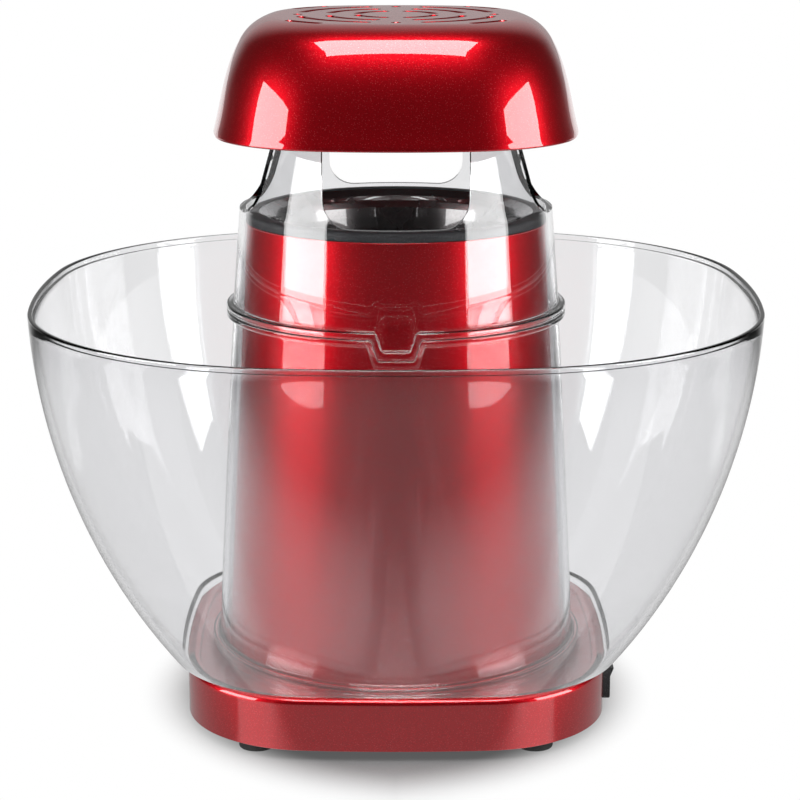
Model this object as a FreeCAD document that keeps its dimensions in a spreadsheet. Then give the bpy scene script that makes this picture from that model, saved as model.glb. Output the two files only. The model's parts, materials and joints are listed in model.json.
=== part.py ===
"""Hot-air popcorn maker: red base and tower, clear bowl, clear chimney and red vented cap.

Millimetres, +Z up. The origin is on the table, under the middle of the base, and -Y is the front.
"""
import FreeCAD, Part
import math
import os
import Sketcher
from FreeCAD import Rotation, Vector

SIZES = {
    # Feet
    "foot_height": 4.0,
    "foot_radius": 7.2,
    "foot_place_x": 54.6,
    "foot_place_y": 68.0,
    "foot_stem_radius": 3.0,
    "foot_bead": 0.7,
    "foot_bead_height": 1.4,
    # Base
    "base_width": 170.4,
    "base_side_radius": 511.0,
    "base_corner_radius": 51.0,
    "base_height": 21.0,
    "base_edge_round": 3.0,
    "base_wall": 2.5,
    "base_rim_land": 4.2,
    "deck_drop": 2.0,
    "deck_thickness": 2.0,
    "plate_thickness": 2.5,
    "boss_place_x": 66.0,
    "boss_place_y": 48.0,
    "boss_radius": 4.2,
    "grille_slot_width": 3.0,
    "grille_slot_step": 6.0,
    "grille_radius": 46.0,
    # Screws
    "screw_radius": 1.5,
    "screw_head_radius": 2.8,
    "screw_head_height": 1.8,
    "screw_length": 8.0,
    # Tower
    "tower_top_radius": 59.9,
    "tower_foot_radius": 70.2,
    "tower_height": 173.5,
    "tower_wall": 2.2,
    "flange_radius": 75.5,
    "flange_thickness": 2.5,
    "flange_bolt_radius": 72.2,
    "rim_height": 6.5,
    "rim_round": 2.0,
    "rim_skirt": 8.0,
    "rim_throat_radius": 50.5,
    "rim_ledge_drop": 4.5,
    # Popping chamber
    "chamber_depth": 100.0,
    "chamber_top_radius": 49.6,
    "chamber_floor_radius": 47.5,
    "chamber_wall": 1.2,
    "chamber_floor_round": 8.0,
    "chamber_dome": 5.0,
    "louvre_count": 18.0,
    "louvre_width": 2.4,
    "louvre_length": 13.0,
    "louvre_tilt": 35.0,
    "louvre_rise": 20.0,
    # Blower
    "blower_radius": 57.0,
    "blower_wall": 2.0,
    "blower_height": 46.0,
    "spider_height": 26.5,
    "spider_thickness": 3.0,
    "spider_hub_radius": 17.0,
    "spider_arm_width": 8.0,
    "spider_arms": 4.0,
    "motor_radius": 14.0,
    "motor_length": 26.0,
    "motor_nose_radius": 5.0,
    "motor_screw_place": 9.5,
    "shaft_radius": 1.5,
    "fan_radius": 53.2,
    "fan_hub_radius": 9.0,
    "fan_hub_height": 12.0,
    "fan_blades": 7.0,
    "fan_root_pitch": 48.0,
    "fan_tip_pitch": 66.0,
    "fan_blade_chord": 16.0,
    "fan_blade_thickness": 1.6,
    "fan_lift": 2.5,
    "board_radius": 12.0,
    "board_thickness": 1.6,
    "board_gap": 2.4,
    "diode_radius": 1.5,
    "diode_length": 5.0,
    "diode_place": 7.0,
    # Heater
    "duct_wall": 1.5,
    "duct_overlap": 7.0,
    "duct_flange_thickness": 2.0,
    "mica_thickness": 1.0,
    "mica_height": 22.0,
    "mica_lift": 3.0,
    "coil_wire_radius": 1.2,
    "coil_inner_radius": 11.0,
    "coil_pitch": 6.0,
    "coil_turns": 5.0,
    "thermostat_radius": 7.5,
    "thermostat_length": 6.5,
    "thermostat_place": 12.0,
    "fuse_radius": 2.2,
    "fuse_length": 14.0,
    # Bowl
    "bowl_width": 290.6,
    "bowl_side_radius": 406.0,
    "bowl_corner_radius": 113.0,
    "bowl_rim_height": 169.5,
    "bowl_wall": 2.8,
    "bowl_curve_radius": 243.0,
    "bowl_curve_height": 182.0,
    "bowl_floor_thickness": 2.4,
    "bowl_floor_lift": 2.6,
    "bowl_floor_width": 166.0,
    "bowl_foot_width": 152.6,
    "bowl_foot_wall": 1.6,
    "rim_step": 0.8,
    "rim_step_depth": 5.5,
    "collar_gap": 1.5,
    "collar_wall": 2.5,
    "collar_top": 163.0,
    "collar_flange_radius": 68.5,
    "collar_flange_thickness": 2.5,
    "notch_depth": 7.9,
    "notch_top_width": 20.0,
    "notch_floor_width": 13.2,
    # Chimney
    "chimney_flange_thickness": 2.8,
    "chimney_foot_radius": 65.7,
    "chimney_shoulder_radius": 62.6,
    "chimney_shoulder_height": 42.0,
    "chimney_neck_radius": 54.0,
    "chimney_neck_height": 77.0,
    "chimney_top_height": 85.0,
    "chimney_wall": 2.5,
    "window_width": 56.0,
    "window_sill": 41.0,
    "window_head": 73.5,
    "window_corner_radius": 10.5,
    # Cap
    "cap_width": 145.0,
    "cap_side_radius": 190.0,
    "cap_corner_radius": 48.5,
    "cap_skirt_drop": 13.0,
    "cap_shoulder_height": 36.0,
    "cap_shoulder_inset": 11.0,
    "cap_side_bulge": 1.3,
    "cap_top_round": 18.0,
    "cap_round_start": 30.0,
    "cap_wall": 2.5,
    "cap_spigot_wall": 2.2,
    "cap_spigot_grip": 6.0,
    "vent_width": 3.2,
    "vent_first_radius": 15.5,
    "vent_step": 11.6,
    "vent_sweep": 56.0,
    "vent_outer_sweep": 18.0,
    # Switch
    "switch_place_y": -28.0,
    "switch_lift": 10.2,
    "bezel_height": 15.6,
    "bezel_width": 10.8,
    "bezel_thickness": 2.0,
    "switch_body_height": 13.2,
    "switch_body_width": 8.8,
    "switch_depth": 8.6,
    "switch_wall": 0.8,
    "rocker_half_length": 5.2,
    "rocker_stand": 3.0,
    "rocker_dip": 1.2,
    "rocker_keel": 3.6,
    "rocker_tilt": 8.0,
    "terminal_length": 4.6,
    "terminal_width": 3.2,
    "terminal_thickness": 0.8,
    # Cord entry and wiring
    "gland_radius": 6.5,
    "gland_neck_radius": 4.6,
    "gland_bore_radius": 3.3,
    "gland_flange": 2.0,
    "block_length": 22.0,
    "block_width": 11.0,
    "block_height": 8.0,
    "block_place_y": 66.0,
    "wire_radius": 1.2,
    "wire_bend": 5.2,
    "lug_foot": 4.0,
    "lug_height": 4.0,
    # Clearances
    "fit_gap": 0.3,
    "close_gap": 0.1,
    "seat_gap": 0.15,
}

doc = FreeCAD.newDocument("popcorn_maker")
sheet = doc.addObject("Spreadsheet::Sheet", "Sizes")
for row, (alias, number) in enumerate(SIZES.items(), start=1):
    sheet.set(f"A{row}", alias)
    sheet.set(f"B{row}", str(number))
    sheet.setAlias(f"B{row}", alias)
doc.recompute()

finished = []


class Size:
    """A number together with the sheet expression that gives it."""

    def __init__(self, value, text):
        self.value = value
        self.text = text

    def __add__(self, other):
        other = as_size(other)
        return Size(self.value + other.value, f"({self.text} + {other.text})")

    def __sub__(self, other):
        other = as_size(other)
        return Size(self.value - other.value, f"({self.text} - {other.text})")

    def __mul__(self, other):
        other = as_size(other)
        return Size(self.value * other.value, f"({self.text} * {other.text})")

    def __truediv__(self, other):
        other = as_size(other)
        return Size(self.value / other.value, f"({self.text} / {other.text})")

    def __neg__(self):
        return Size(-self.value, f"(0 - {self.text})")

    __radd__ = __add__
    __rmul__ = __mul__

    def __rsub__(self, other):
        return as_size(other) - self


def as_size(number):
    return number if isinstance(number, Size) else Size(float(number), f"({number})")


def root(size):
    return Size(math.sqrt(size.value), f"sqrt({size.text})")


def cosine(size):
    return Size(math.cos(math.radians(size.value)), f"cos({size.text} * 1 deg)")


def sine(size):
    return Size(math.sin(math.radians(size.value)), f"sin({size.text} * 1 deg)")


def cell(alias):
    return Size(float(sheet.get(alias)), f"Sizes.{alias}")


def blend(low, high, share):
    """The value a given share of the way from low to high."""
    return low + (high - low) * share


def bind(obj, path, size):
    obj.setExpression(path, as_size(size).text)


def finish(obj, node):
    """Name a finished sub-part and keep it for writing."""
    obj.Label = node
    finished.append(obj)
    return obj


def new_body(node):
    return finish(doc.addObject("PartDesign::Body", node + "_body"), node)


def new_sketch(body, name, plane="XZ_Plane", offset=0):
    """A sketch on one of the body's origin planes, moved along that plane's normal."""
    sketch = body.newObject("Sketcher::SketchObject", name)
    support = next(part for part in body.Origin.OriginFeatures if part.Role == plane)
    sketch.AttachmentSupport = (support, [""])
    sketch.MapMode = "FlatFace"
    bind(sketch, "AttachmentOffset.Base.z", offset)
    return sketch


def hold(sketch, constraint, size):
    """Add a dimension to a sketch and tie it to the sheet."""
    number = sketch.addConstraint(constraint)
    sketch.setExpression(f"Constraints[{number}]", size.text)


def pin(sketch, item, point, x, y):
    """Fix one point of a sketch item at (x, y) from the sketch's origin."""
    for kind, size, axis in (("DistanceX", x, -2), ("DistanceY", y, -1)):
        if abs(size.value) < 1e-9:
            sketch.addConstraint(Sketcher.Constraint("PointOnObject", item, point, axis))
        elif size.value > 0:
            hold(sketch, Sketcher.Constraint(kind, -1, 1, item, point, size.value), size)
        else:
            hold(sketch, Sketcher.Constraint(kind, item, point, -1, 1, -size.value), -size)


def outline(sketch, corners, arcs=None):
    """A closed outline. arcs maps the number of a side to its (radius, turn), left or right."""
    arcs = arcs or {}
    corners = [(as_size(x), as_size(y)) for x, y in corners]
    points = [Vector(x.value, y.value, 0) for x, y in corners]
    first = sketch.GeometryCount
    ends = []
    for side, start in enumerate(points):
        end = points[(side + 1) % len(points)]
        if side not in arcs:
            item = sketch.addGeometry(Part.LineSegment(start, end), False)
            ends.append((item, 1, 2))
            continue
        radius, turn = arcs[side]
        left = turn == "left"
        low, high = (start, end) if left else (end, start)
        chord = high - low
        reach = math.sqrt(max(radius.value ** 2 - chord.Length ** 2 / 4, 0))
        centre = (low + high) * 0.5 + Vector(-chord.y, chord.x, 0).normalize() * reach
        begin, stop = (math.atan2(p.y - centre.y, p.x - centre.x) for p in (low, high))
        circle = Part.Circle(centre, Vector(0, 0, 1), radius.value)
        item = sketch.addGeometry(Part.ArcOfCircle(circle, begin, stop), False)
        ends.append((item, 1, 2) if left else (item, 2, 1))
    for side, (item, start, end) in enumerate(ends):
        following = ends[(side + 1) % len(ends)]
        sketch.addConstraint(Sketcher.Constraint("Coincident", item, end, following[0], following[1]))
    for (item, start, end), (x, y) in zip(ends, corners):
        pin(sketch, item, start, x, y)
    for side, (radius, turn) in arcs.items():
        hold(sketch, Sketcher.Constraint("Radius", first + side, radius.value), radius)
    return sketch


def rectangle(sketch, left, right, low, high):
    return outline(sketch, [(left, low), (right, low), (right, high), (left, high)])


def ring(sketch, radius, x=0, y=0):
    """A full circle at (x, y)."""
    x, y = as_size(x), as_size(y)
    circle = Part.Circle(Vector(x.value, y.value, 0), Vector(0, 0, 1), radius.value)
    item = sketch.addGeometry(circle, False)
    pin(sketch, item, 3, x, y)
    hold(sketch, Sketcher.Constraint("Radius", item, radius.value), radius)
    return sketch


def soft_square(sketch, half, side_radius, corner_radius):
    """A square with bowed sides and round corners: eight tangent arcs."""
    middle = half.value - side_radius.value
    gap = side_radius.value - corner_radius.value
    corner = (2 * middle + math.sqrt(4 * middle ** 2 - 8 * (middle ** 2 - gap ** 2))) / 4
    swing = math.atan2(corner, corner - middle)
    axis = Vector(0, 0, 1)
    for quarter in range(4):
        turn = quarter * math.pi / 2
        spin = Rotation(axis, math.degrees(turn))
        side = Part.Circle(spin.multVec(Vector(middle, 0, 0)), axis, side_radius.value)
        sketch.addGeometry(Part.ArcOfCircle(side, turn - swing, turn + swing), False)
        bend = Part.Circle(spin.multVec(Vector(corner, corner, 0)), axis, corner_radius.value)
        sketch.addGeometry(Part.ArcOfCircle(bend, turn + swing, turn + math.pi / 2 - swing), False)
    for item in range(8):
        sketch.addConstraint(Sketcher.Constraint("Tangent", item, 2, (item + 1) % 8, 1))
    for quarter in range(4):
        item = 2 * quarter
        sketch.addConstraint(Sketcher.Constraint("PointOnObject", item, 3, -1 - quarter % 2))
        if quarter:
            sketch.addConstraint(Sketcher.Constraint("Equal", 0, item))
            sketch.addConstraint(Sketcher.Constraint("Equal", 1, item + 1))
    hold(sketch, Sketcher.Constraint("Radius", 0, side_radius.value), side_radius)
    hold(sketch, Sketcher.Constraint("Radius", 1, corner_radius.value), corner_radius)
    reach = side_radius - half
    hold(sketch, Sketcher.Constraint("DistanceX", 0, 3, -1, 1, reach.value), reach)
    hold(sketch, Sketcher.Constraint("DistanceY", 2, 3, -1, 1, reach.value), reach)
    hold(sketch, Sketcher.Constraint("DistanceX", -1, 1, 4, 3, reach.value), reach)
    hold(sketch, Sketcher.Constraint("DistanceY", -1, 1, 6, 3, reach.value), reach)
    return sketch


def feature(body, kind, name, sketch):
    made = body.newObject("PartDesign::" + kind, name)
    made.Profile = sketch
    sketch.Visibility = False
    return made


def pad(body, name, sketch, length, reverse=False, both=False):
    made = feature(body, "Pad", name, sketch)
    bind(made, "Length", length)
    made.Reversed = reverse
    made.Midplane = both
    return made


def pocket(body, name, sketch, length=None, reverse=False, both=False):
    """Cut along the sketch's normal, backwards unless reversed; without a length, right through."""
    made = feature(body, "Pocket", name, sketch)
    if length is None:
        made.Type = "ThroughAll"
    else:
        bind(made, "Length", length)
    made.Reversed = reverse
    made.Midplane = both
    return made


def revolve(body, name, sketch, cut=False):
    made = feature(body, "Groove" if cut else "Revolution", name, sketch)
    made.ReferenceAxis = (sketch, ["V_Axis"])
    made.Angle = 360
    return made


def loft(body, name, sketches, cut=False, ruled=False):
    made = feature(body, "SubtractiveLoft" if cut else "AdditiveLoft", name, sketches[0])
    made.Sections = sketches[1:]
    made.Ruled = ruled
    return made


def polar(body, name, original, count):
    """Repeat a feature round the body's Z axis."""
    made = body.newObject("PartDesign::PolarPattern", name)
    made.Originals = [original]
    axis = next(part for part in body.Origin.OriginFeatures if part.Role == "Z_Axis")
    made.Axis = (axis, [""])
    made.Angle = 360
    made.Occurrences = int(count.value)
    bind(made, "Occurrences", count)
    body.Tip = made
    return made


def cylinder(name, radius, height, x=0, y=0, z=0):
    made = doc.addObject("Part::Cylinder", name)
    bind(made, "Radius", radius)
    bind(made, "Height", height)
    for axis, size in zip("xyz", (x, y, z)):
        bind(made, f"Placement.Base.{axis}", size)
    return made


def box(name, low, spans):
    made = doc.addObject("Part::Box", name)
    for side, span in zip(("Length", "Width", "Height"), spans):
        bind(made, side, span)
    for axis, size in zip("xyz", low):
        bind(made, f"Placement.Base.{axis}", size)
    return made


def fuse(name, shapes):
    made = doc.addObject("Part::MultiFuse", name)
    made.Shapes = shapes
    made.Refine = True
    return made


def cut(name, base, tool):
    made = doc.addObject("Part::Cut", name)
    made.Base = base
    made.Tool = tool
    return made


def group(name, shapes):
    made = doc.addObject("Part::Compound", name)
    made.Links = shapes
    return made


def edges_at(shape, height):
    """Names of the edges that lie flat at a height."""
    return [f"Edge{number}" for number, edge in enumerate(shape.Edges, start=1)
            if max(abs(edge.BoundBox.ZMin - height), abs(edge.BoundBox.ZMax - height)) < 1e-4]


# Heights that several pieces share
base_low = cell("foot_height")
base_top = base_low + cell("base_height")
base_half = cell("base_width") / 2
deck_top = base_top - cell("deck_drop")
deck_low = deck_top - cell("deck_thickness")
plate_top = base_low + cell("plate_thickness")
flange_low = deck_low - cell("flange_thickness")
blower_low = flange_low - cell("flange_thickness")
tower_top = deck_top + cell("tower_height")
rim_top = tower_top + cell("rim_height")
ledge = rim_top - cell("rim_ledge_drop")
chamber_low = ledge - cell("chamber_depth")
blower_top = blower_low + cell("blower_height")
spider_low = blower_low + cell("spider_height")
spider_top = spider_low + cell("spider_thickness")
motor_low = spider_low - cell("motor_length")
fan_low = spider_top + cell("fan_lift")
fan_top = fan_low + cell("fan_hub_height")
mica_low = blower_top + cell("mica_lift")
mica_top = mica_low + cell("mica_height")
duct_inner = cell("chamber_floor_radius") + cell("fit_gap")
duct_outer = duct_inner + cell("duct_wall")
collar_top = cell("collar_top")
chimney_low = collar_top
chimney_top = chimney_low + cell("chimney_top_height")
cap_low = chimney_top - cell("cap_skirt_drop")


def tower_radius(height):
    """Outside radius of the tapered tower at a height."""
    share = (height - deck_low) / (tower_top - deck_low)
    return blend(cell("tower_foot_radius"), cell("tower_top_radius"), share)


def base_square(body, name, height, inset):
    """The base's outline, drawn in by an inset all round."""
    sketch = new_sketch(body, name, "XY_Plane", height)
    return soft_square(sketch, base_half - inset, cell("base_side_radius") - inset,
                       cell("base_corner_radius") - inset)


def make_base_housing():
    body = new_body("base_housing")
    pad(body, "base_block", base_square(body, "base_outline", base_low, 0), cell("base_height"))
    doc.recompute()
    block = body.Tip
    edge = body.newObject("PartDesign::Fillet", "base_edge")
    edge.Base = (block, edges_at(block.Shape, base_top.value))
    bind(edge, "Radius", cell("base_edge_round"))
    land = cell("base_rim_land")
    pocket(body, "base_recess", base_square(body, "recess_outline", base_top, land), cell("deck_drop"))
    cavity = base_square(body, "cavity_outline", base_low, cell("base_wall"))
    pocket(body, "base_cavity", cavity, deck_low - base_low, reverse=True)
    mouth = ring(new_sketch(body, "mouth_circle", "XY_Plane", deck_top),
                 cell("tower_foot_radius") + cell("fit_gap"))
    pocket(body, "tower_mouth", mouth, cell("deck_thickness") * 2)

    posts = new_sketch(body, "boss_circles", "XY_Plane", plate_top)
    pilots = new_sketch(body, "pilot_circles", "XY_Plane", plate_top)
    for side in (-1, 1):
        for end in (-1, 1):
            place = (cell("boss_place_x") * side, cell("boss_place_y") * end)
            ring(posts, cell("boss_radius"), *place)
            ring(pilots, cell("screw_radius") + cell("close_gap"), *place)
    pad(body, "bosses", posts, deck_low - plate_top)
    pocket(body, "pilots", pilots, cell("screw_length"), reverse=True)

    bolts = new_sketch(body, "flange_bolts", "XY_Plane", deck_low)
    for x, y in flange_bolts():
        ring(bolts, cell("screw_radius") + cell("close_gap"), x, y)
    pocket(body, "flange_pilots", bolts, cell("deck_thickness") * 0.8, reverse=True)

    window = new_sketch(body, "switch_window", "YZ_Plane", base_half - cell("base_wall") * 2)
    half_wide = cell("switch_body_width") / 2 + cell("seat_gap")
    half_tall = cell("switch_body_height") / 2 + cell("seat_gap")
    rectangle(window, cell("switch_place_y") - half_wide, cell("switch_place_y") + half_wide,
              switch_height - half_tall, switch_height + half_tall)
    pocket(body, "switch_hole", window, cell("base_wall") * 4, reverse=True)

    eye = new_sketch(body, "gland_circle", "XZ_Plane", cell("base_wall") * 2 - base_half)
    ring(eye, cell("gland_neck_radius") + cell("close_gap"), 0, gland_height)
    pocket(body, "gland_hole", eye, cell("base_wall") * 4)


def flange_bolts():
    """Places of the four screws that clamp the tower and the blower under the deck."""
    reach = cell("flange_bolt_radius") / root(as_size(2))
    return [(reach * side, reach * end) for side in (-1, 1) for end in (-1, 1)]


def make_base_plate():
    body = new_body("base_plate")
    inset = cell("base_wall") + cell("fit_gap")
    pad(body, "plate", base_square(body, "plate_outline", base_low, inset), cell("plate_thickness"))
    holes = new_sketch(body, "plate_holes", "XY_Plane", base_low)
    for side in (-1, 1):
        for end in (-1, 1):
            ring(holes, cell("screw_radius") + cell("fit_gap"),
                 cell("boss_place_x") * side, cell("boss_place_y") * end)
            ring(holes, cell("foot_stem_radius") + cell("close_gap"),
                 cell("foot_place_x") * side, cell("foot_place_y") * end)
    pocket(body, "plate_drillings", holes, reverse=True)

    rows = int(cell("grille_radius").value / cell("grille_slot_step").value)
    slots = new_sketch(body, "grille_slots", "XY_Plane", base_low)
    half = cell("grille_slot_width") / 2
    for row in range(-rows, rows + 1):
        middle = cell("grille_slot_step") * row
        reach = root(cell("grille_radius") * cell("grille_radius") - middle * middle * 0.9)
        rib = cell("grille_slot_width") * 0.8
        for side in (-1, 1):
            near, far = rib * side, reach * side
            low, high = middle - half, middle + half
            corners = [(near, low), (far, low), (far, high), (near, high)]
            outline(slots, corners if side > 0 else corners[::-1])
    pocket(body, "grille", slots, reverse=True)


def make_feet():
    names = {(-1, -1): "foot_front_left", (1, -1): "foot_front_right",
             (-1, 1): "foot_rear_left", (1, 1): "foot_rear_right"}
    stem = cell("foot_stem_radius")
    bead = stem + cell("foot_bead")
    bead_low = plate_top + cell("close_gap")
    bead_top = bead_low + cell("foot_bead_height")
    for (side, end), node in names.items():
        body = new_body(node)
        chamfer = cell("foot_height") / 5
        profile = outline(new_sketch(body, node + "_profile"), [
            (0, 0), (cell("foot_radius") - chamfer, 0), (cell("foot_radius"), chamfer),
            (cell("foot_radius"), base_low), (stem, base_low), (stem, bead_low), (bead, bead_low),
            (stem, bead_top), (0, bead_top)])
        revolve(body, node + "_turned", profile)
        bind(body, "Placement.Base.x", cell("foot_place_x") * side)
        bind(body, "Placement.Base.y", cell("foot_place_y") * end)


def screw(name, x, y, seat, length):
    """A pan-head screw driven upwards, its head under the seat."""
    head = cylinder(name + "_head", cell("screw_head_radius"), cell("screw_head_height"),
                    x, y, seat - cell("screw_head_height"))
    shank = cylinder(name + "_shank", cell("screw_radius"), length, x, y, seat)
    return fuse(name, [head, shank])


def make_screws():
    length = cell("plate_thickness") + cell("screw_length") * 0.9
    base = [screw(f"base_screw_{side}{end}".replace("-", "n"), cell("boss_place_x") * side,
                  cell("boss_place_y") * end, base_low, length) for side in (-1, 1) for end in (-1, 1)]
    finish(group("base_screw_set", base), "base_screws")
    length = cell("flange_thickness") * 2 + cell("deck_thickness") * 0.7
    clamps = [screw(f"frame_screw_{number}", x, y, blower_low, length)
              for number, (x, y) in enumerate(flange_bolts())]
    finish(group("frame_screw_set", clamps), "frame_screws")
    motor = []
    for side in (-1, 1):
        x = cell("motor_screw_place") * side
        name = "motor_screw_left" if side < 0 else "motor_screw_right"
        head = cylinder(name + "_head", cell("screw_head_radius"), cell("screw_head_height"),
                        x, 0, spider_top)
        depth = cell("spider_thickness") * 2
        shank = cylinder(name + "_shank", cell("screw_radius"), depth, x, 0, spider_top - depth)
        motor.append(fuse(name, [head, shank]))
    finish(group("motor_screw_set", motor), "motor_screws")


def make_tower_shell():
    body = new_body("tower_shell")
    wall = cell("tower_wall")
    foot = tower_radius(flange_low)
    profile = outline(new_sketch(body, "tower_profile"), [
        (foot - wall, flange_low), (cell("flange_radius"), flange_low), (cell("flange_radius"), deck_low),
        (cell("tower_foot_radius"), deck_low), (cell("tower_top_radius"), tower_top),
        (cell("tower_top_radius") - wall, tower_top)])
    revolve(body, "tower_turned", profile)
    bolts = new_sketch(body, "tower_bolts", "XY_Plane", flange_low)
    for x, y in flange_bolts():
        ring(bolts, cell("screw_radius") + cell("close_gap"), x, y)
    pocket(body, "tower_drillings", bolts, cell("flange_thickness"), reverse=True)


def make_tower_rim():
    """Black ring on the tower: rounded outside, a ledge for the chamber's lip inside."""
    body = new_body("tower_rim")
    outer = cell("tower_top_radius")
    curve = cell("rim_round")
    bevel = curve / 2
    throat = cell("rim_throat_radius")
    lip = throat + cell("chamber_wall") * 4
    spigot = outer - cell("tower_wall") - cell("fit_gap")
    skirt_low = tower_top - cell("rim_skirt")
    profile = outline(new_sketch(body, "rim_profile"), [
        (throat, skirt_low), (tower_spigot(skirt_low, spigot), skirt_low), (spigot, tower_top),
        (outer, tower_top), (outer, rim_top - curve), (outer - curve, rim_top), (lip + bevel, rim_top),
        (lip, rim_top - bevel), (lip, ledge), (throat, ledge)],
        {4: (curve, "left"), 6: (bevel, "left")})
    revolve(body, "rim_turned", profile)


def tower_spigot(height, limit):
    """The skirt stays clear of the tower's bore, which only widens downwards."""
    return limit + (tower_radius(height) - cell("tower_top_radius")) * 0.5


def make_popping_chamber():
    """Spun cup with a rolled lip, a domed floor and a ring of slanted air louvres."""
    body = new_body("popping_chamber")
    wall = cell("chamber_wall")
    top = cell("chamber_top_radius")
    low = cell("chamber_floor_radius")
    bend = cell("chamber_floor_round")
    lip = cell("rim_throat_radius") + wall * 3.5
    dome = chamber_low + cell("chamber_dome")
    foot = low - bend
    crown = (foot * foot + cell("chamber_dome") * cell("chamber_dome")) / (cell("chamber_dome") * 2)
    profile = outline(new_sketch(body, "chamber_profile"), [
        (0, dome), (foot, chamber_low), (low, chamber_low + bend), (top, ledge), (lip, ledge),
        (lip, ledge + wall), (top - wall, ledge + wall), (low - wall, chamber_low + bend),
        (foot, chamber_low + wall), (0, dome + wall)],
        {0: (crown, "right"), 1: (bend, "left"), 7: (bend - wall, "right"), 8: (crown, "left")})
    revolve(body, "chamber_spun", profile)
    slot = new_sketch(body, "louvre_outline", "YZ_Plane", low - wall * 4)
    middle = chamber_low + cell("louvre_rise")
    across, along = cell("louvre_width") / 2, cell("louvre_length") / 2
    lean_cos, lean_sin = cosine(cell("louvre_tilt")), sine(cell("louvre_tilt"))
    corners = [(-1, -1), (1, -1), (1, 1), (-1, 1)]
    outline(slot, [(lean_cos * across * i - lean_sin * along * k,
                    middle + lean_sin * across * i + lean_cos * along * k) for i, k in corners])
    cutter = pocket(body, "louvre", slot, wall * 8, reverse=True)
    polar(body, "louvres", cutter, cell("louvre_count"))


def make_blower_housing():
    """Fan duct with a clamping flange and a spider that carries the motor."""
    body = new_body("blower_housing")
    outer = cell("blower_radius")
    inner = outer - cell("blower_wall")
    profile = outline(new_sketch(body, "blower_profile"), [
        (inner, blower_low), (cell("flange_radius"), blower_low), (cell("flange_radius"), flange_low),
        (outer, flange_low), (outer, blower_top), (inner, blower_top)])
    revolve(body, "blower_turned", profile)
    arm = new_sketch(body, "arm_outline", "XY_Plane", spider_low)
    half = cell("spider_arm_width") / 2
    start = cell("spider_hub_radius") * 0.6
    rectangle(arm, start, inner + cell("blower_wall") / 2, -half, half)
    limb = pad(body, "spider_arm", arm, cell("spider_thickness"))
    polar(body, "spider", limb, cell("spider_arms"))
    hub = ring(new_sketch(body, "hub_circle", "XY_Plane", spider_low), cell("spider_hub_radius"))
    pad(body, "spider_hub", hub, cell("spider_thickness"))
    holes = new_sketch(body, "hub_holes", "XY_Plane", spider_low)
    ring(holes, cell("motor_nose_radius") + cell("close_gap"))
    for side in (-1, 1):
        ring(holes, cell("screw_radius") + cell("close_gap"), cell("motor_screw_place") * side, 0)
    pocket(body, "hub_drillings", holes, cell("spider_thickness"), reverse=True)
    bolts = new_sketch(body, "blower_bolts", "XY_Plane", blower_low)
    for x, y in flange_bolts():
        ring(bolts, cell("screw_radius") + cell("close_gap"), x, y)
    for x, y in wire_holes():
        ring(bolts, cell("wire_radius") + cell("fit_gap"), x, y)
    pocket(body, "blower_drillings", bolts, cell("flange_thickness"), reverse=True)


def wire_holes():
    """Where the two heater wires pass the flange, between the blower and the tower."""
    reach = (cell("blower_radius") + tower_radius(blower_top) - cell("tower_wall")) / 2
    return [(reach, as_size(0)), (-reach, as_size(0))]


def make_motor():
    body = new_body("motor_can")
    outer = cell("motor_radius")
    bend = outer / 5
    nose = cell("motor_nose_radius")
    bore = cell("shaft_radius") + cell("fit_gap")
    profile = outline(new_sketch(body, "motor_profile"), [
        (bore, motor_low), (outer - bend, motor_low), (outer, motor_low + bend), (outer, spider_low),
        (nose, spider_low), (nose, spider_top), (bore, spider_top)], {1: (bend, "left")})
    revolve(body, "motor_turned", profile)
    holes = new_sketch(body, "motor_holes", "XY_Plane", spider_low)
    for side in (-1, 1):
        ring(holes, cell("screw_radius") + cell("close_gap"), cell("motor_screw_place") * side, 0)
    pocket(body, "motor_tappings", holes, cell("spider_thickness") * 1.5)

    shaft_low = motor_low + cell("fit_gap")
    reach = fan_top - shaft_low + cell("screw_head_height")
    rod = cylinder("motor_rod", cell("shaft_radius"), reach, 0, 0, shaft_low)
    finish(rod, "motor_shaft")

    board_top = motor_low - cell("board_gap")
    plate = cylinder("rectifier_plate", cell("board_radius"), cell("board_thickness"),
                     0, 0, board_top - cell("board_thickness"))
    stuff = [plate]
    for side in (-1, 1):
        pillar = cylinder("board_pin_left" if side < 0 else "board_pin_right", cell("screw_radius"),
                          cell("board_gap"), 0, cell("diode_place") * side, board_top)
        stuff.append(pillar)
        for end in (-1, 1):
            name = f"diode_{'left' if side < 0 else 'right'}_{'front' if end < 0 else 'rear'}"
            diode = cylinder(name, cell("diode_radius"), cell("diode_length"),
                             cell("diode_place") * side * 0.9,
                             cell("diode_length") * end * 0.6 - cell("diode_length") / 2,
                             board_top - cell("board_thickness") - cell("diode_radius") * 0.8)
            diode.Placement.Rotation = Rotation(Vector(1, 0, 0), -90)
            stuff.append(diode)
    finish(fuse("rectifier_parts", stuff), "rectifier_board")


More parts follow.
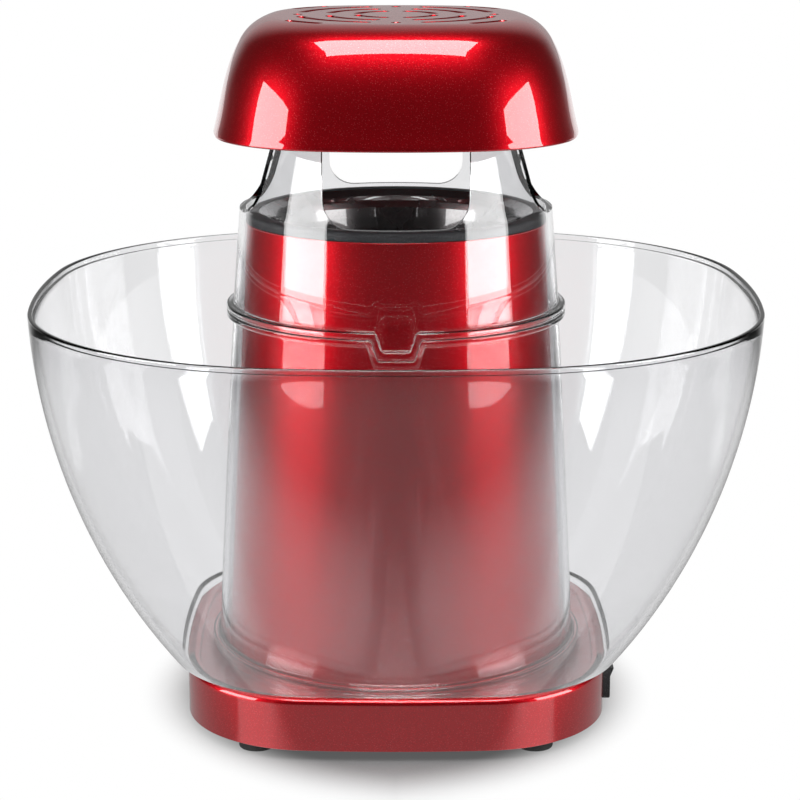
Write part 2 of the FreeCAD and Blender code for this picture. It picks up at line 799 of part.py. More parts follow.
def make_fan():
    """Axial fan: a hub and twisted blades, each lofted from its root to its tip."""
    body = new_body("fan_impeller")
    bore = cell("shaft_radius") + cell("close_gap") / 2
    hub = cell("fan_hub_radius")
    profile = outline(new_sketch(body, "hub_profile"), [
        (bore, fan_low), (hub, fan_low), (hub, fan_top - cell("fan_lift")),
        (hub - cell("fan_lift"), fan_top), (bore, fan_top)], {2: (cell("fan_lift"), "left")})
    revolve(body, "fan_hub", profile)
    middle = (fan_low + fan_top) / 2
    sections = []
    for name, reach, pitch in (("blade_root", hub * 0.8, cell("fan_root_pitch")),
                               ("blade_tip", cell("fan_radius"), cell("fan_tip_pitch"))):
        sketch = new_sketch(body, name, "YZ_Plane", reach)
        along, across = cell("fan_blade_chord") / 2, cell("fan_blade_thickness") / 2
        if name == "blade_root":
            along = along * 0.7
        tilt_sin, tilt_cos = sine(pitch), cosine(pitch)
        corners = [(-1, -1), (1, -1), (1, 1), (-1, 1)]
        outline(sketch, [(tilt_sin * along * i - tilt_cos * across * k,
                          middle + tilt_cos * along * i + tilt_sin * across * k) for i, k in corners])
        sections.append(sketch)
    blade = loft(body, "blade", sections, ruled=True)
    polar(body, "blades", blade, cell("fan_blades"))
    clip = cylinder("fan_clip_disc", cell("shaft_radius") * 2.6, cell("screw_head_height") / 2, 0, 0, fan_top)
    eye = cylinder("fan_clip_eye", bore, cell("screw_head_height"), 0, 0, fan_top)
    finish(cut("fan_clip_ring", clip, eye), "fan_clip")


def make_heater():
    duct = new_body("heater_duct")
    flange_top = blower_top + cell("duct_flange_thickness")
    top = chamber_low + cell("chamber_floor_round") + cell("duct_overlap")
    outer = duct_outer + cell("fit_gap") + (cell("chamber_top_radius") - cell("chamber_floor_radius")) / 4
    inner = outer - cell("duct_wall")
    profile = outline(new_sketch(duct, "duct_profile"), [
        (inner, blower_top), (cell("blower_radius"), blower_top), (cell("blower_radius"), flange_top),
        (outer, flange_top), (outer, top), (inner, top)])
    revolve(duct, "duct_turned", profile)

    reach = inner - cell("fit_gap")
    thick = cell("mica_thickness")
    across = box("mica_across", (-reach, -thick / 2, mica_low), (reach * 2, thick, cell("mica_height")))
    along = box("mica_along", (-thick / 2, -reach, mica_low), (thick, reach * 2, cell("mica_height")))
    finish(fuse("mica_cross", [across, along]), "mica_boards")

    seat = inner + cell("duct_wall") + cell("fit_gap")
    height = mica_low + cell("thermostat_place")
    can = cylinder("thermostat_can", cell("thermostat_radius"), cell("thermostat_length"), 0, -seat, height)
    can.Placement.Rotation = Rotation(Vector(1, 0, 0), 90)
    stub = cylinder("thermostat_stub", cell("thermostat_radius") * 0.6, cell("thermostat_length") * 0.3,
                    0, -seat - cell("thermostat_length"), height)
    stub.Placement.Rotation = Rotation(Vector(1, 0, 0), 90)
    finish(fuse("thermostat_parts", [can, stub]), "thermostat")
    fuse_place = seat + cell("fuse_radius")
    capsule = cylinder("thermal_capsule", cell("fuse_radius"), cell("fuse_length"),
                       -fuse_place, cell("fuse_length") / 2, height)
    capsule.Placement.Rotation = Rotation(Vector(1, 0, 0), 90)
    finish(capsule, "thermal_fuse")
    make_heating_coil()

    foot = cell("lug_foot")
    near = seat
    far = cell("blower_radius") - foot / 4
    lugs = []
    for name, low in (("lug_right", near), ("lug_left", -far)):
        lugs.append(box(name, (low, -foot / 2, flange_top), (far - near, foot, cell("lug_height"))))
    finish(group("lug_set", lugs), "heater_terminals")


def make_heating_coil():
    """Resistance coil: a flat spiral of half circles that lies on the mica boards."""
    radius = cell("coil_wire_radius").value
    pitch = cell("coil_pitch").value
    height = mica_top.value + radius + cell("close_gap").value
    turns = int(cell("coil_turns").value)
    reach = cell("coil_inner_radius").value
    start = Vector(reach, 0, height)
    edges = [Part.LineSegment(start - Vector(0, 2 * radius, 0), start).toShape()]
    side = 1
    for half in range(2 * turns):
        centre = Vector(start.x - side * reach, 0, height)
        end = centre - Vector(side * reach, 0, 0)
        crest = centre + Vector(0, side * reach, 0)
        edges.append(Part.Arc(start, crest, end).toShape())
        start, side, reach = end, -side, reach + pitch / 2
    edges.append(Part.LineSegment(start, start + Vector(0, 2 * radius, 0)).toShape())
    path = Part.Wire(edges)
    section = Part.Wire(Part.Circle(edges[0].Vertexes[0].Point, Vector(0, 1, 0), radius).toShape())
    tube = path.makePipeShell([section], True, False)
    print("heating coil: least gap between turns", round(pitch - 2 * radius, 2), "mm, outside radius",
          round(reach - pitch / 2 + radius, 2))
    coil = doc.addObject("Part::Feature", "coil_tube")
    coil.Shape = tube
    finish(coil, "heating_coil")


SWITCH_BLADES = {"feed": -0.6, "load": 0.0}
switch_height = base_low + cell("switch_lift")
gland_height = (plate_top + deck_low) / 2


def make_switch():
    """Mini rocker switch in the right wall, on when its lower half is pressed."""
    body = new_body("switch_housing")
    y = cell("switch_place_y")
    tall, wide = cell("bezel_height") / 2, cell("bezel_width") / 2
    bezel = new_sketch(body, "bezel_outline", "YZ_Plane", base_half)
    rectangle(bezel, y - wide, y + wide, switch_height - tall, switch_height + tall)
    pad(body, "bezel", bezel, cell("bezel_thickness"))
    deep_tall, deep_wide = cell("switch_body_height") / 2, cell("switch_body_width") / 2
    trunk = new_sketch(body, "trunk_outline", "YZ_Plane", base_half)
    rectangle(trunk, y - deep_wide, y + deep_wide, switch_height - deep_tall, switch_height + deep_tall)
    pad(body, "trunk", trunk, cell("switch_depth"), reverse=True)
    wall = cell("switch_wall")
    well = new_sketch(body, "well_outline", "YZ_Plane", base_half + cell("bezel_thickness"))
    rectangle(well, y - deep_wide + wall, y + deep_wide - wall,
              switch_height - deep_tall + wall, switch_height + deep_tall - wall)
    pocket(body, "well", well, cell("switch_depth") + cell("bezel_thickness") - wall)

    rocker = new_body("switch_rocker")
    half = cell("rocker_half_length")
    stand, dip, keel = cell("rocker_stand"), cell("rocker_dip"), cell("rocker_keel")
    profile = new_sketch(rocker, "rocker_profile")
    outline(profile, [(-keel, -half * 0.4), (0, -half), (stand, -half), (stand - dip, 0), (stand, half),
                      (0, half), (-keel, half * 0.4)])
    pad(rocker, "rocker_block", profile, (deep_wide - wall - cell("fit_gap")) * 2, both=True)
    rocker.Placement.Rotation = Rotation(Vector(0, 1, 0), cell("rocker_tilt").value)
    bind(rocker, "Placement.Base.x", base_half)
    bind(rocker, "Placement.Base.y", y)
    bind(rocker, "Placement.Base.z", switch_height)

    blades = []
    thin = cell("terminal_thickness")
    for name, rise in SWITCH_BLADES.items():
        low = (base_half - cell("switch_depth") - cell("terminal_length"), y - cell("terminal_width") / 2,
               switch_height + deep_tall * rise - thin / 2)
        blades.append(box(f"switch_blade_{name}", low,
                          (cell("terminal_length"), cell("terminal_width"), thin)))
    finish(group("switch_blade_set", blades), "switch_terminals")


def make_cord_gland():
    """Rubber gland in the rear wall: an outer flange, a neck and an inner bead round the bore."""
    body = new_body("cord_gland")
    outer, neck, bore = cell("gland_radius"), cell("gland_neck_radius"), cell("gland_bore_radius")
    wall, lip = cell("base_wall"), cell("gland_flange")
    round_off = lip / 2
    profile = outline(new_sketch(body, "gland_profile"), [
        (bore, -wall - lip), (outer - round_off, -wall - lip), (outer, -wall - round_off),
        (outer, -wall - cell("close_gap")), (neck, -wall - cell("close_gap")), (neck, cell("close_gap")),
        (outer, cell("close_gap")), (outer - round_off, lip), (bore, lip)])
    revolve(body, "gland_turned", profile)
    body.Placement.Rotation = Rotation(Vector(1, 0, 0), -90)
    bind(body, "Placement.Base.y", base_half)
    bind(body, "Placement.Base.z", gland_height)


def wire(node, points):
    """Insulated wire along straight runs joined by tangent arcs."""
    radius = cell("wire_radius").value
    longest_trim = cell("wire_bend").value
    edges = []
    start = points[0]
    for before, corner, after in zip(points, points[1:], points[2:]):
        back, ahead = before - corner, after - corner
        trim = min(0.45 * min(back.Length, ahead.Length), longest_trim)
        back.normalize()
        ahead.normalize()
        half = back.getAngle(ahead) / 2
        inward = (back + ahead).normalize()
        centre = corner + inward * (trim / math.cos(half))
        crest = centre - inward * (trim * math.tan(half))
        edges.append(Part.LineSegment(start, corner + back * trim).toShape())
        edges.append(Part.Arc(corner + back * trim, crest, corner + ahead * trim).toShape())
        start = corner + ahead * trim
    edges.append(Part.LineSegment(start, points[-1]).toShape())
    path = Part.Wire(edges)
    section = Part.Wire(Part.Circle(points[0], points[1] - points[0], radius).toShape())
    tube = path.makePipeShell([section], True, False)
    share = tube.Volume / (math.pi * radius ** 2 * path.Length)
    print(f"{node}: length {path.Length:.1f} mm, volume over section times length {share:.4f}")
    obj = doc.addObject("Part::Feature", node + "_tube")
    obj.Shape = tube
    finish(obj, node)


def make_wiring():
    """Terminal block by the gland, and the wires from it to the switch and the heater."""
    length, width, height = cell("block_length"), cell("block_width"), cell("block_height")
    y = cell("block_place_y")
    case = box("block_case", (-length / 2, y - width / 2, plate_top), (length, width, height))
    ways = []
    for number in (-1, 0, 1):
        x = length * number * 0.3
        ways.append(cylinder(f"block_way_{number + 1}", cell("screw_radius"), height / 2, x, y,
                             plate_top + height / 2))
    finish(cut("block_drilled", case, fuse("block_ways", ways)), "terminal_block")

    level = (plate_top + height / 2).value
    end_x, end_y = (length / 2).value, y.value
    lead_x = 2 * end_x
    blade_x = (base_half - cell("switch_depth") - cell("terminal_length")).value
    blade_y = cell("switch_place_y").value
    tall = (cell("switch_body_height") / 2).value
    feed_z, load_z = (switch_height.value + tall * rise for rise in SWITCH_BLADES.values())
    lane = wire_holes()[0][0].value
    inner_lane = lane - 3 * cell("wire_radius").value
    dip = blower_low.value - cell("wire_bend").value - cell("close_gap").value
    lug_x = (cell("blower_radius") - cell("lug_foot") / 4).value
    lug_z = (blower_top + cell("duct_flange_thickness") + cell("lug_height") / 2).value
    wire("wire_feed", [Vector(end_x, end_y, level), Vector(lead_x, end_y, level),
                       Vector(0.75 * lane, 0.85 * end_y, level),
                       Vector(inner_lane, 0.35 * end_y, feed_z), Vector(inner_lane, 0.5 * blade_y, feed_z),
                       Vector(lane, blade_y, feed_z), Vector(blade_x, blade_y, feed_z)])
    wire("wire_load", [Vector(blade_x, blade_y, load_z), Vector(lane + 1, blade_y, load_z),
                       Vector(lane, 0.45 * blade_y, dip), Vector(lane, 0, dip),
                       Vector(lane, 0, lug_z), Vector(lug_x, 0, lug_z)])
    wire("wire_return", [Vector(-end_x, end_y, level), Vector(-lead_x, end_y, level),
                         Vector(-0.75 * lane, 0.85 * end_y, level),
                         Vector(-lane, 0.35 * end_y, dip), Vector(-lane, 0, dip),
                         Vector(-lane, 0, lug_z), Vector(-lug_x, 0, lug_z)])


def bowl_half(height, inset=0):
    """Half-width of the bowl's curved wall at a height, or of its inside face."""
    drop = cell("bowl_curve_height") - height
    rim_drop = cell("bowl_curve_height") - cell("bowl_rim_height")
    radius = cell("bowl_curve_radius")
    inner = radius - inset
    return (cell("bowl_width") / 2 - root(radius * radius - rim_drop * rim_drop)
            + root(inner * inner - drop * drop))


def bowl_section(body, name, height, half, inset=0):
    """The bowl's plan grows rounder from the foot to the rim."""
    share = (half + inset - base_half) / (cell("bowl_width") / 2 - base_half)
    side = blend(cell("base_side_radius"), cell("bowl_side_radius"), share)
    corner = blend(cell("base_corner_radius"), cell("bowl_corner_radius"), share)
    sketch = new_sketch(body, name, "XY_Plane", height)
    return soft_square(sketch, half, side - inset, corner - inset)


BOWL_STATIONS = (0.0, 0.2, 0.42, 0.66, 0.86, 1.0)


def make_bowl():
    """Clear bowl: a bowed square wall, a narrow floor and a round collar over the tower."""
    body = new_body("bowl")
    floor_low = deck_top + cell("bowl_floor_lift")
    floor_top = floor_low + cell("bowl_floor_thickness")
    rim = cell("bowl_rim_height")
    wall = cell("bowl_wall")
    outside = [bowl_section(body, f"bowl_outside_{number}", blend(floor_top, rim, share),
                            bowl_half(blend(floor_top, rim, share)))
               for number, share in enumerate(BOWL_STATIONS)]
    loft(body, "bowl_wall_outside", outside)
    floor = [bowl_section(body, "bowl_floor_edge", floor_low, cell("bowl_floor_width") / 2),
             bowl_section(body, "bowl_floor_top", floor_top, bowl_half(floor_top))]
    loft(body, "bowl_floor", floor, ruled=True)
    inside = [bowl_section(body, f"bowl_inside_{number}", blend(floor_top, rim, share),
                           bowl_half(blend(floor_top, rim, share), wall), wall)
              for number, share in enumerate(BOWL_STATIONS)]
    loft(body, "bowl_wall_inside", inside, cut=True)
    step = cell("rim_step")
    ledge_height = rim - cell("rim_step_depth")
    lip = bowl_section(body, "rim_step_outline", rim, bowl_half(rim, wall - step), wall - step)
    pocket(body, "rim_rebate", lip, rim - ledge_height)

    foot = new_sketch(body, "foot_outline", "XY_Plane", deck_top)
    for inset in (as_size(0), cell("bowl_foot_wall")):
        ring(foot, cell("bowl_foot_width") / 2 - inset)
    pad(body, "bowl_foot", foot, cell("bowl_floor_lift"))

    gap, thick = cell("collar_gap"), cell("collar_wall")
    lip_low = collar_top - cell("collar_flange_thickness")
    low_in = tower_radius(floor_low) + gap
    top_in = tower_radius(collar_top) + gap
    collar = outline(new_sketch(body, "collar_profile"), [
        (low_in, floor_low), (low_in + thick, floor_low), (tower_radius(lip_low) + gap + thick, lip_low),
        (cell("collar_flange_radius"), lip_low), (cell("collar_flange_radius"), collar_top),
        (top_in, collar_top)])
    way = outline(new_sketch(body, "tower_way_profile"), [
        (0, floor_low), (low_in, floor_low), (tower_radius(floor_top) + gap, floor_top), (0, floor_top)])
    revolve(body, "tower_way", way, cut=True)
    revolve(body, "collar", collar)
    middle = top_in + thick / 2
    edge = new_sketch(body, "notch_edge", "XZ_Plane", middle)
    outline(edge, key_outline(cell("collar_flange_thickness")))
    pad(body, "notch_flange", edge, cell("collar_flange_radius") + gap - middle)
    notch = new_sketch(body, "notch_outline", "XZ_Plane", 0)
    outline(notch, key_outline(as_size(0), wall))
    pocket(body, "key_notch", notch, cell("collar_flange_radius") + wall, reverse=True)
    trim_to_flange(body, "collar", collar_top + wall)


def key_outline(grow, rise=0):
    """The key notch in the collar, its edges moved out by grow and its top raised by rise."""
    depth = cell("notch_depth")
    low = cell("notch_floor_width") / 2
    lean = (cell("notch_top_width") / 2 - low) / depth
    sill, head = collar_top - depth - grow, collar_top + rise
    low_half = low + grow - lean * grow
    top_half = low + grow + lean * (depth + rise)
    return [(-low_half, sill), (low_half, sill), (top_half, head), (-top_half, head)]


def trim_to_flange(body, name, high):
    """Cut away what stands proud of the round flange near the key."""
    low = collar_top - cell("notch_depth") * 2
    near, far = cell("collar_flange_radius"), cell("collar_flange_radius") * 1.2
    spare = outline(new_sketch(body, name + "_spare"), [(near, low), (far, low), (far, high), (near, high)])
    revolve(body, name + "_trim", spare, cut=True)


def make_chimney():
    """Clear chimney on the bowl's collar: a tapered tube, a cone with four windows and a neck."""
    body = new_body("chimney")
    wall = cell("chimney_wall")
    flange_top = chimney_low + cell("chimney_flange_thickness")
    foot, shoulder, neck = (cell("chimney_foot_radius"), cell("chimney_shoulder_radius"),
                            cell("chimney_neck_radius"))
    shoulder_z = chimney_low + cell("chimney_shoulder_height")
    neck_z = chimney_low + cell("chimney_neck_height")
    profile = outline(new_sketch(body, "chimney_profile"), [
        (foot - wall, chimney_low), (cell("collar_flange_radius"), chimney_low),
        (cell("collar_flange_radius"), flange_top), (foot, flange_top), (shoulder, shoulder_z),
        (neck, neck_z), (neck, chimney_top), (neck - wall, chimney_top), (neck - wall, neck_z),
        (shoulder - wall, shoulder_z)])
    revolve(body, "chimney_turned", profile)
    fit, thick = cell("fit_gap"), cell("chimney_flange_thickness")
    tongue = new_sketch(body, "tongue_outline", "XZ_Plane", foot - wall + fit)
    outline(tongue, key_outline(-fit, thick / 2))
    pad(body, "tongue", tongue, cell("collar_flange_radius") - foot + wall)
    trough = new_sketch(body, "trough_outline", "XZ_Plane", foot + fit)
    outline(trough, key_outline(-fit - thick, thick + wall))
    pocket(body, "trough", trough, foot, reverse=True)
    trim_to_flange(body, "chimney", flange_top + wall)
    half = cell("window_width") / 2
    sill, head = chimney_low + cell("window_sill"), chimney_low + cell("window_head")
    bend = cell("window_corner_radius")
    small = bend / 3
    for plane, name in (("XZ_Plane", "front_rear"), ("YZ_Plane", "left_right")):
        opening = new_sketch(body, f"window_{name}", plane, 0)
        outline(opening, [
            (bend - half, sill), (half - bend, sill), (half, sill + bend), (half, head - small),
            (half - small, head), (small - half, head), (-half, head - small), (-half, sill + bend)],
            {1: (bend, "left"), 3: (small, "left"), 5: (small, "left"), 7: (bend, "left")})
        pocket(body, f"windows_{name}", opening, cell("collar_flange_radius") * 2, both=True)


def cap_profile(inset):
    """Heights and half-widths of the cap's wall, bottom to top, or of its inside face."""
    half = cell("cap_width") / 2
    shoulder = cell("cap_shoulder_height")
    curve = cell("cap_top_round")
    start = cell("cap_round_start")
    centre_x = half - cell("cap_shoulder_inset") - curve * cosine(start)
    centre_z = shoulder - curve * sine(start)
    stations = [(as_size(0), half - inset),
                (shoulder / 2, half - cell("cap_shoulder_inset") / 2 + cell("cap_side_bulge") - inset)]
    for share in (0.0, 0.25, 0.5, 0.75, 1.0):
        angle = blend(start, as_size(90), share)
        stations.append((centre_z + (curve - inset) * sine(angle),
                         centre_x + (curve - inset) * cosine(angle)))
    return stations


def cap_section(body, name, rise, half, inset):
    share = (half + inset) / (cell("cap_width") / 2)
    sketch = new_sketch(body, name, "XY_Plane", cap_low + rise)
    return soft_square(sketch, half, cell("cap_side_radius") * share - inset,
                       cell("cap_corner_radius") * share - inset)


def make_cap():
    """Red cap: a domed square shell, a spigot that grips the chimney's neck and vents in the top."""
    body = new_body("cap_shell")
    wall = cell("cap_wall")
    for name, inset, cutting in (("cap_outside", as_size(0), False), ("cap_inside", wall, True)):
        sections = [cap_section(body, f"{name}_{number}", rise, half, inset)
                    for number, (rise, half) in enumerate(cap_profile(inset))]
        loft(body, name, sections, cut=cutting)
    neck = cell("chimney_neck_radius")
    gap = cell("fit_gap") + cell("close_gap")
    thick = cell("cap_spigot_wall")
    top_rise, top_half = cap_profile(wall)[-1]
    ceiling = cap_low + top_rise
    stop = neck - cell("chimney_wall")
    profile = outline(new_sketch(body, "spigot_profile"), [
        (stop, chimney_top), (neck + gap, chimney_top), (neck + gap, chimney_top - cell("cap_spigot_grip")),
        (neck + gap + thick, chimney_top - cell("cap_spigot_grip")),
        (neck + gap + thick, ceiling - wall), (stop, ceiling + wall / 4)])
    revolve(body, "spigot", profile)
    half = cell("vent_width") / 2
    sweeps = [cell("vent_sweep")] * 3 + [cell("vent_outer_sweep")]
    for number, sweep in enumerate(sweeps):
        radius = cell("vent_first_radius") + cell("vent_step") * number
        sketch = new_sketch(body, f"vent_outline_{number}", "XY_Plane", ceiling - wall / 2)
        cutter = pocket(body, f"vent_{number}", arc_slot(sketch, radius, half, sweep), wall * 4, reverse=True)
        polar(body, f"vents_{number}", cutter, as_size(4))
    dot = new_sketch(body, "vent_hole_outline", "XY_Plane", ceiling - wall / 2)
    ring(dot, half, cell("vent_first_radius") + cell("vent_step") * 2)
    hole = pocket(body, "vent_hole", dot, wall * 4, reverse=True)
    polar(body, "vent_holes", hole, as_size(4))


def arc_slot(sketch, radius, half, sweep):
    """A curved slot with round ends, centred on the diagonal between +X and +Y."""
    low, high = as_size(45) - sweep / 2, as_size(45) + sweep / 2
    inner, outer = radius - half, radius + half
    corners = [(inner * cosine(low), inner * sine(low)), (outer * cosine(low), outer * sine(low)),
               (outer * cosine(high), outer * sine(high)), (inner * cosine(high), inner * sine(high))]
    return outline(sketch, corners, {0: (half * 1.001, "left"), 1: (outer, "left"),
                                     2: (half * 1.001, "left"), 3: (inner, "right")})


def write_parts():
    doc.recompute()
    for obj in doc.Objects:
        if "Invalid" in obj.State or "Error" in obj.State:
            raise RuntimeError(f"{obj.Name} ({obj.Label}) failed: {obj.State}")
    os.makedirs("parts", exist_ok=True)
    for obj in finished:
        if obj.Shape.isNull() or not obj.Shape.isValid():
            raise RuntimeError(f"{obj.Label} has no valid shape")
        obj.Shape.exportStep(f"parts/{obj.Label}.step")
    print(len(finished), "sub-parts written")


make_base_housing()
make_base_plate()
make_feet()
make_screws()
make_tower_shell()
make_tower_rim()
make_popping_chamber()
make_blower_housing()
make_motor()
make_fan()
make_heater()
make_switch()
make_cord_gland()
make_wiring()
make_bowl()
make_chimney()
make_cap()
write_parts()
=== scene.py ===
"""Looks for the hot-air popcorn maker: its visible shells, materials, studio and camera."""
import json
import math
from collections import namedtuple

import bmesh
import bpy
from mathutils import Matrix, Vector


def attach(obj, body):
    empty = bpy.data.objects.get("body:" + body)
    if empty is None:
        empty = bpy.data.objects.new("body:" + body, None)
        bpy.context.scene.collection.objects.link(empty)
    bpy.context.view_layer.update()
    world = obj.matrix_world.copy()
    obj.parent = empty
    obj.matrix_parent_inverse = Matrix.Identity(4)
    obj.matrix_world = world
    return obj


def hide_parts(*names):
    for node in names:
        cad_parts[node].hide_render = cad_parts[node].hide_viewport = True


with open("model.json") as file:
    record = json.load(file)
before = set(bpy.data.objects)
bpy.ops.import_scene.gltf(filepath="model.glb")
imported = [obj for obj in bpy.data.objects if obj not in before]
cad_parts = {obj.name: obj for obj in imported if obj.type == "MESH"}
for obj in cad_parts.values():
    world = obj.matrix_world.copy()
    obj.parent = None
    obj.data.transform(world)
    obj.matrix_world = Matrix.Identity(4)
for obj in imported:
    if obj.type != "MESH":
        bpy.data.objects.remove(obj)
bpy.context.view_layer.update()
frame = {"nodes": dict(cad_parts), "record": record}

# Sizes in millimetres and angles in degrees, most of them as in the part's source
MM = 0.001
SEAM, FIT = 0.1, 0.3

# Radii of rounded edges, and the share of the square plan in a square ring
TINY, FINE, SMALL, SOFT, EASED, BLUNT, FULL = 0.2, 0.3, 0.4, 0.5, 0.6, 0.8, 0.9
SQUARE = 1.0

# Base and feet
BASE_LOW, BASE_TOP, BASE_HALF, BASE_WALL = 4.0, 25.0, 85.2, 2.5
BASE_SIDE, BASE_CORNER, BASE_EDGE, BASE_LAND = 511.0, 51.0, 3.0, 4.2
DECK_TOP, DECK_LOW = 23.0, 21.0
FOOT_X, FOOT_Y, FOOT_RADIUS = 54.6, 68.0, 7.2
GROOVE_START, GROOVE_MIDDLE, GROOVE_END, GROOVE_DEPTH = 0.55, 0.6, 0.68, 0.5

# Tower, its black ring and the popping chamber
TOWER_FOOT, TOWER_NECK, TOWER_TOP, TOWER_WALL, FLANGE, FLANGE_LOW = 70.2, 59.9, 196.5, 2.2, 75.5, 18.5
SKIN_TOP, RIM_TOP, RIM_LEDGE, RIM_SKIRT, RIM_THROAT, RIM_LIP = 199.2, 203.0, 198.5, 188.5, 50.5, 55.3
RIM_ROUND, RIM_LIP_ROUND = 2.2, 1.2
CUP_LOW, CUP_WALL, CUP_FLOOR, CUP_BEND, CUP_DOME, CUP_STRAIGHT = 98.5, 1.2, 46.3, 6.8, 5.0, 160.0
CUP_MOUTH = ((54.9, 202.4), (53.4, 201.3), (51.4, 200.0), (50.0, 198.3), (49.0, 195.4), (48.2, 191.5),
             (47.4, 187.0), (46.8, 182.0), (46.4, 175.0))
CUP_MOUTH_ROUND, CUP_LIP_RING, CUP_LIP_GAP, DOME_STEPS = 3.0, 6, 1.0, 12
LOUVRES, LOUVRE_HALF, LOUVRE_LONG, LOUVRE_TILT, LOUVRE_RISE = 18, 1.2, 6.5, 35.0, 20.0
LOUVRE_INWARD, LOUVRE_OUTWARD = 4.0, 6.0

# Bowl and its collar
BOWL_RIM, BOWL_TOP, BOWL_WALL, BOWL_RIM_ROUND = 145.3, 169.5, 2.8, 0.95
BOWL_CURVE, BOWL_CURVE_Z, BOWL_SIDE, BOWL_CORNER = 243.0, 182.0, 406.0, 113.0
BOWL_FLOOR_LOW, BOWL_FLOOR_TOP, BOWL_FLOOR_EDGE = 25.6, 28.0, 83.0
FLOOR_EDGE_ROUND, FLOOR_OUTER_ROUND, FLOOR_INNER_ROUND, COLLAR_FOOT_ROUND = 1.5, 2.0, 2.5, 1.5
BOWL_FOOT, BOWL_FOOT_WALL = 76.3, 1.6
BOWL_STEP, BOWL_STEP_DEPTH, BOWL_STEP_GAP = 0.8, 2.4, 1.0
COLLAR_GAP, COLLAR_WALL, COLLAR_TOP, COLLAR_FLANGE, COLLAR_THICK = 1.5, 2.5, 163.0, 68.5, 2.5
KEY_DEPTH, KEY_TOP, KEY_FLOOR, KEY_SINK, KEY_SPREAD = 7.9, 10.0, 6.6, 0.4, 0.6

# Chimney
CHIMNEY_THICK, CHIMNEY_FOOT, CHIMNEY_SHOULDER, CHIMNEY_NECK = 2.8, 65.7, 62.6, 54.0
CHIMNEY_SHOULDER_Z, CHIMNEY_NECK_Z, CHIMNEY_TOP, CHIMNEY_WALL = 205.0, 240.0, 248.0, 2.5
CHIMNEY_WAIST, CHIMNEY_FLANGE_ROUND, SHOULDER_ROUND, NECK_ROUND = 12.0, 1.1, 10.0, 4.0
CONE_START, CONE_ROWS = 3, 16
WINDOW_HALF, WINDOW_SILL, WINDOW_HEAD, WINDOW_BEND = 28.0, 204.0, 236.5, 10.5

# Cap
CAP_LOW, CAP_HALF, CAP_SIDE, CAP_CORNER, CAP_WALL = 235.0, 72.5, 190.0, 48.5, 2.5
CAP_SHOULDER, CAP_SHOULDER_RISE, CAP_ROUND, CAP_ROUND_START = 61.5, 36.0, 18.0, 30.0
CAP_SLOPE_LOW, CAP_SLOPE_HIGH = -0.288, -0.577
CAP_SIDE_STEPS, CAP_ROUND_STEPS = 12, 16
VENT_HALF, VENT_RADII, VENT_SWEEPS = 1.6, (15.5, 27.1, 38.7, 50.3), (56.0, 56.0, 56.0, 18.0)
VENT_CHAMFER, VENT_PAST, VENT_DOT_SWEEP = 0.45, 2.0, 0.1
SOCKET_GAP, SOCKET_WALL, SOCKET_DEPTH, SOCKET_SLANT, SOCKET_TOP_GAP = 0.4, 2.2, 6.0, 4.0, 0.5

# Switch. A mark has its name, rise, half-width, half-height, corner radius and stroke, 0 if it is filled
SWITCH_Y, SWITCH_Z, SWITCH_DEPTH = -28.0, 14.2, 8.6
BEZEL_HIGH, BEZEL_WIDE, BEZEL_PROUD, BEZEL_SUNK, BEZEL_EDGE, BEZEL_BEND = 7.8, 5.4, 2.0, 1.3, 0.5, 1.0
TRUNK_HIGH, TRUNK_WIDE, TRUNK_WALL = 6.6, 4.4, 0.8
AT_SWITCH = Matrix.Translation(Vector((BASE_HALF, SWITCH_Y, SWITCH_Z)) * MM)
ROCKER_HALF, ROCKER_STAND, ROCKER_DIP, ROCKER_KEEL = 5.2, 3.0, 1.2, 3.6
ROCKER_WIDE, ROCKER_TILT, ROCKER_BEVEL, ROCKER_END, KEEL_HALF = 3.3, 8.0, 0.35, 0.92, 0.4
MARKS = (("mark_on", -2.6, 0.3, 1.3, 0.15, 0.0), ("mark_off", 2.6, 1.2, 1.3, 1.2, 0.45))
MARK_ROOT, MARK_FACE = -0.3, 0.06

# Studio, in metres. A fade is where a smooth step starts and ends, and its value there
# The floor's ambient occlusion reach and gamma paint shade into its colour near the object
FLOOR_HALF, FLOOR_TONE, PAINTED_SHADE_REACH, PAINTED_SHADE_GAMMA = 9.0, (0.85, 0.85, 0.85, 1.0), 0.07, 1.8
# The shadow fade's lowest value is a painted white glow kept in the object's shadow
SHADOW_SQUEEZE, SHADOW_AND_GLOW_FADE = 0.25, (0.093, 0.135, 0.1, 1.0)
NEAR_FADE, BESIDE_FADE, BEHIND_FADE = (0.4, 0.9, 1.0, 0.0), (0.05, 0.13, 0.42, 1.0), (0.1, 0.6, 0.04, 1.0)
BAND_INNER_SLANT, BAND_INNER_FADE = 1.347, (-0.045, -0.008, 0.42, 1.0)
BAND_OUTER_SLANT, BAND_OUTER_FADE = 0.356, (-0.055, -0.050, 0.0, 0.63)
SKY_FADE, REAR_FADE, MIRROR_FADE = (0.3, 0.8, 0.0, 0.9), (-0.5, 0.2, 0.06, 1.0), (0.2, 0.8, 0.02, 0.4)
SIDE_BOX, SIDE_BOX_SIZE, SIDE_BOX_POWER = (1.17, -0.515, 0.36), (0.867, 0.68), 11.5
TOP_BOX, TOP_BOX_SIZE, TOP_BOX_POWER = (0.0, -0.44, 1.27), (0.85, 0.73), 14.8
CAMERA_PLACE, CAMERA_TILT, CAMERA_LENS, CAMERA_SHIFT = (0.0, -0.951, 0.3562), 76.25, 107.55, 0.005
SENSOR_WIDTH = 36.0

# One ring of a lofted shell. key is None, or how far the key notch is widened on that ring
Ring = namedtuple("Ring", "reach height round square inset key", defaults=(0.0, 0.0, 0.0, None))


def turn_angles(coarse, fine, fine_span):
    """Directions once round, closer together at the front, where the key is."""
    front = -math.pi / 2
    step = 2 * fine_span / fine
    near = [front - fine_span + step * number for number in range(fine)]
    far = [front + fine_span + (2 * math.pi - 2 * fine_span) * number / coarse for number in range(coarse)]
    return near + far


